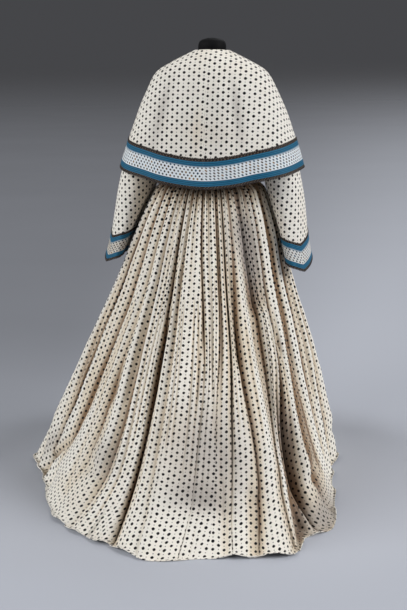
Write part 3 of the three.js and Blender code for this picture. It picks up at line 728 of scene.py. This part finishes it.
def fold_chances():
    """What differs by chance from fold to fold, with a row for each fold of two turns."""
    draw = np.random.default_rng(SEED)
    drift = draw.uniform(0, 6.28, (FOLD_COUNT, 2))
    rest = [draw.uniform(*span, FOLD_COUNT) for span in (FULLNESS, *CREASES, SHARPNESS)]
    return np.tile(np.column_stack([drift, *rest]), (2, 1))


def valley_lines(valleys, chances, share):
    """The angle and the depth of every valley on its way down."""
    waver = np.sin(share * 9 + chances[:, :1]) + 0.6 * np.sin(share * 17 + chances[:, 1:2])
    path = curve(LEVELS, valleys[:, 0:4], share) + 0.35 * waver * np.sin(np.pi * share)
    depth = curve(LEVELS, valleys[:, 4:8], share) * (1 + 0.12 * np.roll(waver, 3, axis=1))
    depth *= mix(1, FOLD_DEEPEN, within(share, *DEEP_SPAN))
    return path, depth * calm(path, share)


def narrow_creases(t, share, first_at, next_at, wide, first_deep, next_deep, begins, ends):
    """The depth of the two narrow creases of each fold. t is the place across the fold."""
    return within(share, begins, begins + 0.12, ends, ends + 0.1) * (
        first_deep * bump_at(t, first_at + 0.05 * np.sin(5 * share), wide)
        + next_deep * bump_at(t, next_at, wide * 0.8)
    )


def hollowed(angle, share):
    """The depth of the long hollows, below zero on the raised edges."""
    return sum(
        depth * bump_at(angle, mix(first, last, (share - begins) / (ends - begins)), wide)
        * within(share, begins - 0.02, mix(begins, ends, 0.5), ends - 0.05, ends + 0.01)
        for first, begins, last, ends, wide, depth in HOLLOWS
    )


def skirt_cloth(first, last):
    """The breadth between two valleys: its points, its cut, its painted shade in the folds and its
    painted shadow in wide patches.
    """
    place = np.arange((last - first) * FOLD_STEPS + 1)
    fold = np.minimum(first + place // FOLD_STEPS, last - 1)
    t = (place / FOLD_STEPS - (fold - first))[:, None]
    t[0], t[-1] = SEAM_INSET, 1 - SEAM_INSET
    share = np.append(np.linspace(0, FLOOR_SHARE, SKIRT_STEPS), HEM_ROWS)
    valleys = np.concatenate([VALLEYS, VALLEYS + np.repeat([360, 0], [4, 5])])
    chances = fold_chances()
    path, depth = valley_lines(valleys, chances, share)
    drift, next_drift, fullness, *creases, sharp = chances[fold].T[..., None]
    angle = mix(path[fold], path[fold + 1], t)
    deep = mix(depth[fold], depth[fold + 1], t)
    crest = valleys[fold, 8:]
    reach = np.where(t < crest, t / crest, (1 - t) / (1 - crest))
    rise = mix(np.sin(reach * np.pi / 2) ** fullness, reach**0.9, sharp)
    radius, height, level, lean, up = crest_line(angle, share)
    round_body = wrapped(angle)
    quiet = calm(angle, share)
    gathers = np.sin(2 * np.pi * (GATHERS * t + drift)) * np.exp(-share * GATHER_FADE)
    soft = np.sin(2 * np.pi * SOFT_FOLDS * t + drift + 1.6 * np.sin(4 * share + next_drift))
    small = GATHER_DEPTH * gathers + SOFT_FOLD_DEPTH * soft * quiet * within(share, *SOFT_SPAN)
    narrow = quiet * narrow_creases(t, share, *creases)
    lift = sum(tall * bump_at(round_body, middle, wide) for middle, wide, tall in HEM_LIFTS)
    height = height + lift * ease(share, *LIFT_FROM)
    swells = [
        (middle, down - 2.2 * tall, tilt, wide, 1.4 * tall, BREAK_SWELL * depth)
        for middle, down, tilt, wide, tall, depth in CLOTH_BREAKS
    ]
    broken = patches(swells, angle, share) - patches(CLOTH_BREAKS, angle, share)
    hollow = hollowed(round_body, share)
    plain = at_angle(angle, radius, height)
    uneven = ease(share, 0.02, 0.2) * ripple(plain, *WIDE_RIPPLE)
    uneven += ease(share, 0.3, 0.7) * ripple(plain, *CLOSE_RIPPLE)
    shift = deep * (rise - level) + small * np.minimum(1, reach * 1.6) + uneven + broken - hollow - narrow
    notch = HEM_NOTCH * curve(LEVELS, valleys[fold, 4:8], share) * (1 - rise) * ease(share, *NOTCH_FROM)
    points = at_angle(
        angle, radius + shift * lean - notch, np.maximum(height + CLOTH_WALL + shift * up, FLOOR_REST)
    )
    # Painted shade: in the valleys of the folds, in the narrow creases and hollows, under the cape's hem
    # at the waist and in the valleys of the gathers; weaker on part of the upper skirt.
    shade_kept = 1 - 0.55 * bump_at(round_body, *LEAST_FOLD_SHADE) * (1 - ease(share, 0.45, 0.65))
    wear_and_painted_shade = shade_kept * (1 - rise) ** 1.6 * deep / (8 + 20 * share) + narrow / 12 + np.maximum(hollow, 0) / 40
    wear_and_painted_shade += 0.9 * (1 - ease(share, 0.0, 0.12)) + 0.7 * np.maximum(-gathers, 0)
    dull = np.clip(patches(PAINTED_SHADOW_PATCHES, angle, share), 0, 0.9)
    return points, skirt_cut(points, first, last), np.clip(wear_and_painted_shade, 0, 1), dull


def calm(angle, share):
    """How much of the folds' depth is left where the cloth spreads out flat."""
    return math.prod(
        1 - amount * bump_at(wrapped(angle), middle, wide) * ease(share, begins, ends)
        for middle, wide, begins, ends, amount in FLAT_PLACES
    )


def skirt_cut(points, first, last):
    """The print keeps to the straight grain of each group of folds and breaks only in deep ones."""
    over = lengths(points, 0)
    down = lengths(points, 1)
    groups, members = [], [first]
    for fold in range(first + 1, last):
        if VALLEYS[fold % FOLD_COUNT][6] >= DEEP_FOLD:
            groups.append(members)
            members = []
        members.append(fold)
    groups.append(members)
    cut = np.zeros((len(points) - 1, 2, points.shape[1], 2))
    for members in groups:
        middle = members[len(members) // 2]
        crest = VALLEYS[middle % FOLD_COUNT][8]
        centre = int(round((middle - first + crest) * FOLD_STEPS))
        start, end = (members[0] - first) * FOLD_STEPS, (members[-1] - first + 1) * FOLD_STEPS
        u = over - over[centre] + over[centre, -1]
        both = np.stack([u, down], -1) * MM
        cut[start:end, 0] = both[start:end]
        cut[start:end, 1] = both[start + 1 : end + 1]
    return cut


def add_skirt(printed):
    breadths = [
        # node, its first and last valley, the size and the area of its cut
        ("skirt_front", 30, 38, (0.90, 1.08), 0.70),
        ("skirt_side_right", 4, 9, (1.00, 1.27), 0.66),
        ("skirt_back_right", 9, 13, (0.52, 1.33), 0.375),
        ("skirt_back_centre", 13, 19, (0.52, 1.34), 0.445),
        ("skirt_back_left", 19, 24, (0.84, 1.32), 0.575),
        ("skirt_side_left", 24, 30, (0.86, 1.16), 0.605),
    ]
    for node, first, last, flat, area in breadths:
        points, cut, fold, dull = skirt_cloth(first, last)
        piece = cloth_panel(f"{node}_cloth", points, cut, printed, fold=fold, dull=dull)
        sewn(piece, [node])


def skirt_radius_at(angle, height):
    """The radius of the skirt's crests at a height."""
    shares = np.linspace(0, 0.8, 81)
    radius, line = crest_line(angle[..., None], shares)[:2]
    below = line + CLOTH_WALL < height[..., None]
    first = np.where(below.any(-1), below.argmax(-1), len(shares) - 1)
    return np.take_along_axis(radius, first[..., None], -1)[..., 0]


# ---- cape
CAPE = np.array([
    # height at back, side, front; reach to the side, back, front; squareness
    (1400, 1398, 1376, 58, 59, 68, 2.0), (1386, 1379, 1360, 97, 76, 83, 2.0),
    (1366, 1358, 1340, 138, 94, 99, 2.1), (1338, 1337, 1312, 174, 111, 115, 2.2),
    (1306, 1316, 1282, 194, 124, 128, 2.3), (1262, 1280, 1244, 215, 140, 146, 2.3),
    (1204, 1232, 1192, 238, 156, 164, 2.3), (1130, 1174, 1124, 262, 174, 182, 2.3),
    (1053, 1112, 1046, 286, 191, 199, 2.3), (1022, 1081, 1014, 296, 197, 206, 2.3),
    (991, 1050, 982, 307, 203, 212, 2.3), (960, 1020, 950, 317, 209, 218, 2.3),
]).T
CAPE_ROWS = CAPE.shape[1]
CAPE_BORDER_ROW = 8
CAPE_FOLD_ROW = 4
CAPE_EDGE_CURVE = 1.4
CAPE_END_ANGLE = 179.2
CAPE_TROUGHS = [
    # where, how wide, how deep at the hem
    (-158, 12, 6), (-132, 14, 8), (-104, 13, 6), (-78, 11, 5), (-42, 10, 9), (-16, 12, 3),
    (20, 13, 4), (53, 11, 8), (82, 12, 5), (107, 13, 7), (134, 13, 6), (160, 12, 7),
]
CAPE_DEEPEN = 1.5  # how much deeper the worn troughs are than the stiff panel's
SEAM_ANGLE = 0.06  # half the gap between the halves at the centre back
SEAM_SINK = 0.6
SEAM_WIDTH = 3
CAPE_CROWDING = 1.25  # above 1, the columns of cloth lie closer towards the centre back
CAPE_RIPPLE = (120, 2.4, 40)
CAPE_STEPS = (96, 120)  # columns and rows of cloth
CAPE_BORDER_STEPS = (160, 66)
CAPE_HALVES = [
    # word, side, how far its print is shifted across and down
    ("left", 1, 0, 3), ("right", -1, -1.5, 10),
]
# Patches of painted warm shade on the cape.
CAPE_PAINTED_SHADE = [
    (8, 0.62, 0, 9, 0.14, 0.3), (-60, 0.7, 0, 20, 0.2, 0.1), (150, 0.6, 0, 15, 0.2, 0.2),
]
# Patches of painted shadow on the cape.
CAPE_PAINTED_SHADOWS = [
    (48, 0.58, 0, 6, 0.18, 0.5), (-36, 0.55, 0, 5.5, 0.16, 0.55), (-10, 0.6, 0, 16, 0.22, 0.22),
    (20, 0.6, 0, 12, 0.3, 0.12), (-130, 0.6, 0, 12, 0.2, 0.25), (120, 0.6, 0, 12, 0.2, 0.25),
]


def cape_point(angle, row):
    back, side_height, front, side, back_reach, front_reach, square = (
        curve(np.arange(CAPE_ROWS), column, row) for column in CAPE
    )
    c = np.cos(np.radians(angle))
    end = np.where(c > 0, back, front)
    height = side_height + (end - side_height) * np.abs(c) ** CAPE_EDGE_CURVE
    radius = oval_radius(angle, side, np.where(c > 0, back_reach, front_reach), square)
    share = np.clip((row - CAPE_FOLD_ROW) / (CAPE_ROWS - 1 - CAPE_FOLD_ROW), 0, 1)
    for middle, width, depth in CAPE_TROUGHS:
        radius = radius - share * CAPE_DEEPEN * depth * bump_at(angle, middle, width)
    arc = np.radians(np.abs(angle)) * radius
    radius = radius - SEAM_SINK * bump_at(arc, 0, SEAM_WIDTH)
    return at_angle(angle, radius, height)


def cape_cloth(side, top_row, steps, lift=0):
    """One half of the cape from a row down to its hem. side is +1 for the left."""
    columns, rows = steps
    t = np.linspace(0, 1, columns + 1)[:, None] ** CAPE_CROWDING
    angle = mix(SEAM_ANGLE, CAPE_END_ANGLE, t) * side
    if side < 0:
        angle = angle[::-1]
    row = np.linspace(top_row, CAPE_ROWS - 1, rows + 1)[None, :]
    points = cape_point(*np.broadcast_arrays(angle, row))
    points = raised(points, (ripple(points, *CAPE_RIPPLE) * ease(row, 1, 6))[..., None])
    return raised(points, lift)


def cape_cut(points, side, across, along):
    """Each half is cut flat as part of a ring, with the straight grain down the centre back."""
    over = lengths(points, 0)
    over = over if side > 0 else over - over[-1]
    down = lengths(points, 1)
    front_edge = np.abs(over[-1 if side > 0 else 0])
    turn = (front_edge[-1] - front_edge[0]) / down[:, -1].mean()
    reach = front_edge[0] / turn + down
    swing = over / reach
    return plain_cut(reach * np.sin(swing) + across, reach * np.cos(swing) + along)


def add_cape(printed, banded, cord):
    for word, side, across, along in CAPE_HALVES:
        cloth = cape_cloth(side, 0, CAPE_STEPS)
        round_body = np.degrees(np.arctan2(cloth[..., 0], cloth[..., 1]))
        down = np.linspace(0, 1, cloth.shape[1])
        # Painted warm shade and painted shadow on the cape.
        painted_shade, dull = (patches(rows, round_body, down) for rows in (CAPE_PAINTED_SHADE, CAPE_PAINTED_SHADOWS))
        cut = cape_cut(cloth, side, across, along)
        cape = cloth_panel(f"cape_{word}_cloth", cloth, cut, printed, fold=painted_shade, dull=dull)
        sewn(cape, [f"cape_{word}"])
        border = cape_cloth(side, CAPE_BORDER_ROW, CAPE_BORDER_STEPS, LAID_GAP + BAND_SHELL)
        fixed_border(f"cape_border_{word}", border, banded, cord)


# ---- borders
PICOT_SIZE = (2.585, 3.8, 0.9)  # half of it along the edge, out from it and in thickness
PICOT_OUT = 0.7  # how far a picot's middle lies out from the edge
PICOT_SINK = 0.2
BAND_RIB = 0.35  # how far the ribs of the blue bands stand up


def band_relief(share):
    """Height of the woven border across its width: cord edges, ribbed bands, flat middle."""
    down = share * BAND_WIDTH
    past = [ease(down, end - 0.001, end + 0.001) for end in BAND_ZONES]
    blue = past[0] - past[1] + past[2] - past[3]
    edges = 1 - past[0] + past[3]
    ribs = 0.5 + 0.5 * np.sin(down * 2 * np.pi / RIB_PITCH)
    return BAND_RIB * ribs * blue + 0.3 * blue + 0.6 * edges


def fixed_border(name, points, banded, cord, wear_and_painted_shade=None, joined=False):
    """A border laid on a hem, with a row of picots along each edge."""
    share = np.linspace(0, 1, points.shape[1])
    points = raised(points, band_relief(share)[None, :, None])
    over = lengths(points, 0)
    cut = plain_cut(over, np.broadcast_to(share * BAND_WIDTH / MM, over.shape))
    piece = cloth_panel(
        f"{name}_band", points, cut, banded, shell=BAND_SHELL, fold=wear_and_painted_shade, joined=joined
    )
    sewn(piece, [name])
    picots = picot_rows(f"{name}_picots", points, cord)
    picots.parent = piece


def picot_rows(name, points, cord):
    bm = bmesh.new()
    face = outward(points)
    for edge, inner in ((0, 1), (-1, -2)):
        line = points[:, edge]
        aim = points[:, edge] - points[:, inner]
        arc = lengths(line, 0)
        count = int(arc[-1] / PICOT_PITCH)
        for k in range(count):
            at = (k + 0.5) * arc[-1] / count
            spot, down, out = (
                np.array([np.interp(at, arc, values[:, i]) for i in range(3)])
                for values in (line, aim, face[:, edge])
            )
            down /= np.linalg.norm(down)
            out /= np.linalg.norm(out)
            side = np.cross(out, down)
            centre = (spot + down * PICOT_OUT - out * PICOT_SINK) * MM
            turn = Matrix((side, down, out)).transposed().to_4x4()
            size = Matrix.Diagonal((*(half * MM for half in PICOT_SIZE), 1))
            bmesh.ops.create_uvsphere(
                bm, u_segments=8, v_segments=4, radius=1,
                matrix=Matrix.Translation(centre) @ turn @ size,
            )
    return new_piece(name, bm, [cord])


# ---- sleeves
SLEEVE = np.array([
    # outer edge: side, height; inner edge: side, height; middle towards the back; half depth
    (186, 1310, 186, 1192, 0, 54), (196, 1298, 189, 1168, 0, 60), (222, 1248, 187, 1128, 0, 70),
    (245, 1188, 184, 1080, 0, 79), (271, 1108, 182, 1020, -2, 88), (298, 1015, 186, 955, -5, 96),
    (317, 930, 202, 888, -8, 103), (328, 858, 222, 828, -10, 109), (336, 802, 236, 786, -11, 113),
    (345, 755, 246, 742, -12, 117), (355, 714, 255, 702, -12, 120),
]).T
SLEEVE_ROWS = SLEEVE.shape[1]
SLEEVE_SPREAD = {1: 14, -1: -13}  # how much further out each sleeve hangs at its hem
SLEEVE_RAISE = {1: 16, -1: 0}  # how much higher each hem hangs
SLEEVE_BORDER_ROW = 8
SLEEVE_POINT_ANGLE = 50  # where the hem's point is, from the outside towards the back
SLEEVE_POINT_DROP = 34
SLEEVE_POINT_WIDTH = 80
SLEEVE_SPREAD_ROW = 2  # the spread and the point begin at these rows
SLEEVE_POINT_ROW = 6
SLEEVE_FREE_ROW = 3  # below this row the sleeve hangs outside the skirt
SKIRT_CLEARANCE = 9
SLEEVE_RIPPLE = (110, 1.2)
SLEEVE_SEED = 60
SLEEVE_STEPS = (96, 130)
SLEEVE_BORDER_STEPS = (120, 66)
# How much painted shade each sleeve's border takes.
SLEEVE_BORDER_SHADE = {1: 0.6, -1: 0.3}
SLEEVE_INNER_SHADE = {1: 0.5, -1: 0.0}  # how much painted shade the cloth takes towards the body
SLEEVE_SHADE_ASIDE = (200, 310)  # from full painted shade to none, out from the middle
SLEEVE_GRAIN = -0.08  # how far the straight grain leans out for each mm down
# Troughs of the sleeve: where round it, how wide, how deep in hundredths of its size.
SLEEVE_TROUGHS = [(78, 16, 7), (140, 18, 5), (232, 20, 6), (300, 18, 6)]


def smooth_larger(a, b, soft):
    return (a + b + np.sqrt((a - b) ** 2 + soft**2)) / 2


def sleeve_point(side, around, row):
    outer_side, outer_height, inner_side, inner_height, back, half_depth = (
        curve(np.arange(SLEEVE_ROWS), column, row) for column in SLEEVE
    )
    c = np.cos(np.radians(around))
    s = np.sin(np.radians(around))
    share = np.clip((row - SLEEVE_SPREAD_ROW) / (SLEEVE_ROWS - 1 - SLEEVE_SPREAD_ROW), 0, 1)
    scale = 1
    for middle, width, depth in SLEEVE_TROUGHS:
        scale = scale - share * depth / 100 * bump_at(wrapped(around - middle), 0, width)
    x = (outer_side + inner_side) / 2 + (outer_side - inner_side) / 2 * c * scale
    x = x + SLEEVE_SPREAD[side] * share
    z = (outer_height + inner_height) / 2 + (outer_height - inner_height) / 2 * c
    z = z + SLEEVE_RAISE[side] * share
    y = back + half_depth * s * scale
    from_point = np.abs(wrapped(around - SLEEVE_POINT_ANGLE))
    pointed = np.maximum(0, 1 - from_point / SLEEVE_POINT_WIDTH)
    z = z - SLEEVE_POINT_DROP * pointed * np.clip((row - SLEEVE_POINT_ROW) / 2, 0, 1)
    angle = np.degrees(np.arctan2(side * x, y))
    radius = np.hypot(x, y)
    clear = skirt_radius_at(angle, z) + SKIRT_CLEARANCE
    radius = np.where(row > SLEEVE_FREE_ROW, smooth_larger(radius, clear, 5), radius)
    return at_angle(angle, radius, z)


def sleeve_cloth(side, top_row, steps, lift=0):
    columns, rows = steps
    turn = np.linspace(0, 360, columns + 1)[:, None]
    around = 540 - turn if side > 0 else 180 + turn
    row = np.linspace(top_row, SLEEVE_ROWS - 1, rows + 1)[None, :]
    points = sleeve_point(side, *np.broadcast_arrays(around, row))
    face = outward(points)
    face[0] = face[-1] = (face[0] + face[-1]) / 2
    points = points + face * ripple(points, *SLEEVE_RIPPLE, SLEEVE_SEED + side)[..., None]
    points[-1] = points[0]
    return points + face * lift


def sleeve_cut(points, side):
    """The straight grain runs down the back of the arm, and the print lies square to it."""
    along = np.array([side * SLEEVE_GRAIN, 0, -1]) / math.hypot(SLEEVE_GRAIN, 1)
    square = np.array([-along[2], 0, along[0]])
    steps = np.diff(points, axis=0)
    steps = np.linalg.norm(steps - (steps @ along)[..., None] * along, axis=-1)
    over = np.concatenate([np.zeros((1, points.shape[1])), np.cumsum(steps, axis=0)])
    back = len(steps) * (1 if side > 0 else 3) // 4
    return plain_cut(over - over[back] + points[back] @ square, points @ along)


def add_sleeves(printed, banded, cord):
    for word, side in (("left", 1), ("right", -1)):
        cloth = sleeve_cloth(side, 0, SLEEVE_STEPS)
        cut = sleeve_cut(cloth, side)
        # Painted shade on the side of the sleeve towards the body.
        wear_and_painted_shade = SLEEVE_INNER_SHADE[side] * (1 - ease(np.abs(cloth[..., 0]), *SLEEVE_SHADE_ASIDE))
        sleeve = cloth_panel(f"sleeve_{word}_cloth", cloth, cut, printed, fold=wear_and_painted_shade, joined=True)
        sewn(sleeve, [f"sleeve_outer_{word}", f"sleeve_under_{word}"])
        border = sleeve_cloth(side, SLEEVE_BORDER_ROW, SLEEVE_BORDER_STEPS, LAID_GAP + BAND_SHELL)
        # Painted shade on the sleeve's border.
        wear_and_painted_shade = np.full(border.shape[:2], SLEEVE_BORDER_SHADE[side])
        fixed_border(f"sleeve_border_{word}", border, banded, cord, wear_and_painted_shade, joined=True)


# ---- form and bodice
FORM = np.array([
    # height, half width, half depth, squareness
    (800, 126, 106, 2.0), (850, 130, 110, 2.0), (900, 122, 104, 2.0), (950, 111, 96, 2.0),
    (1000, 108, 94, 2.0), (1050, 121, 104, 2.0), (1120, 147, 114, 2.1), (1180, 163, 116, 2.2),
    (1240, 171, 110, 2.3), (1290, 171, 98, 2.3), (1318, 162, 88, 2.2), (1336, 143, 80, 2.1),
    (1352, 112, 71, 2.0), (1366, 78, 62, 2.0), (1380, 53, 53, 2.0), (1396, 47, 48, 2.0),
    (1414, 46, 47, 2.0), (1425, 42, 43, 2.0), (1432, 33, 34, 2.0), (1436, 18, 19, 2.0),
]).T
BODICE = np.array([
    # height; half angle of the back panel; half angle taken off the fronts at the side
    (994, 87.6, 88.4), (1050, 87.6, 88.4), (1120, 87.6, 88.4), (1180, 84, 93), (1190, 80, 98),
    (1202, 74, 104), (1218, 67, 111), (1240, 63, 116), (1290, 65, 115), (1304, 72, 108),
    (1318, 80, 100), (1328, 86, 94), (1336, 89.4, 90.6), (1352, 89.2, 90.8), (1366, 89, 91),
]).T
FRONT_EDGE_ANGLE = 179.6
# Rings that close the form below and over the neck: part of the nearest ring's size, height.
FORM_BELOW = [(0, 800), (0.5, 800), (0.9, 800), (0.97, 801)]
FORM_OVER = [(0.9, 1436.8), (0.5, 1437.4), (0, 1437.6)]


def form_radius(angle, height):
    side, depth, square = (curve(FORM[0], column, height) for column in FORM[1:])
    return oval_radius(angle, side, depth, square)


def torso_point(angle, height, out):
    """A point at a distance out of the form, measured square to its surface."""
    slope = (form_radius(angle, height + 10) - form_radius(angle, height - 10)) / 20
    return at_angle(angle, form_radius(angle, height) + out * np.hypot(1, slope), height)


def add_bodice(printed):
    height = np.linspace(BODICE[0, -1], BODICE[0, 0], 91)[None, :]
    half = np.interp(height, BODICE[0], BODICE[1])
    away = np.interp(height, BODICE[0], BODICE[2])
    t = np.linspace(0, 1, 49)[:, None]
    panels = [
        ("bodice_back", mix(-half, half, t), (0.44, 0.46), 0.150),
        ("bodice_front_left", mix(away, FRONT_EDGE_ANGLE, t), (0.24, 0.46), 0.078),
        ("bodice_front_right", mix(-FRONT_EDGE_ANGLE, -away, t), (0.24, 0.46), 0.078),
    ]
    for name, angle, flat, area in panels:
        cloth = torso_point(angle, height, BODICE_OUT)
        piece = cloth_panel(f"{name}_cloth", cloth, own_cut(cloth, len(cloth) // 2), printed)
        sewn(piece, [name])
    turn = np.linspace(-180, 180, 145)[:, None]
    height = np.linspace(WAISTBAND_TOP, WAISTBAND_BOTTOM, 13)[None, :]
    cloth = torso_point(turn, height, BODICE_OUT + LAID_GAP + CLOTH_WALL + 1.2)
    piece = cloth_panel("waistband_cloth", cloth, own_cut(cloth), printed, joined=True)
    sewn(piece, ["waistband"])


def add_form(cover):
    """The padded form under its stretched cover, rounded over at the neck."""
    height = np.linspace(FORM[0, 0], FORM[0, -1], 150)
    side, depth, square = (curve(FORM[0], column, height) for column in FORM[1:])
    (low, below), (high, over) = np.transpose(FORM_BELOW), np.transpose(FORM_OVER)
    side, depth = (np.concatenate([low * size[0], size[1:], high * size[-1]]) for size in (side, depth))
    height = np.concatenate([below, height[1:], over])
    square = np.pad(square[1:], (len(low), len(high)), mode="edge")
    turn = np.linspace(-180, 180, 97)[:, None]
    rings = [values[::-1][None, :] for values in (side, depth, square, height)]
    radius = oval_radius(turn, np.maximum(rings[0], 1e-3), np.maximum(rings[1], 1e-3), rings[2])
    points = at_angle(turn, radius, rings[3])
    points[:, 0] = (0, 0, over[-1])
    points[:, -1] = (0, 0, below[0])
    points[-1] = points[0]
    piece = cloth_panel("dress_form_cover", points, own_cut(points), [cover], joined=True)
    piece.modifiers.clear()
    sewn(piece, ["dress_form"])


def sewn(piece, nodes):
    """The piece rides with the dress and stands for these solids."""
    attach(piece, "root")
    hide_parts(*nodes)


# ---- making it all
add_camera()
add_lights()
add_floor()
# The right side of each cloth comes first.
printed = [printed_cloth("printed_cloth", 1.0), printed_cloth("printed_cloth_reverse", 0.35)]
banded = [border_band("border_band"), plain_reverse("border_band_reverse")]
brown_cord = cord_edge("brown_cord")
add_form(black_jersey("black_jersey"))
add_bodice(printed)
add_skirt(printed)
add_sleeves(printed, banded, brown_cord)
add_cape(printed, banded, brown_cord)
steel = painted_steel("stand_enamel")
for node in ("stand_pole", "stand_base"):
    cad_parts[node].material_slots[0].material = steel
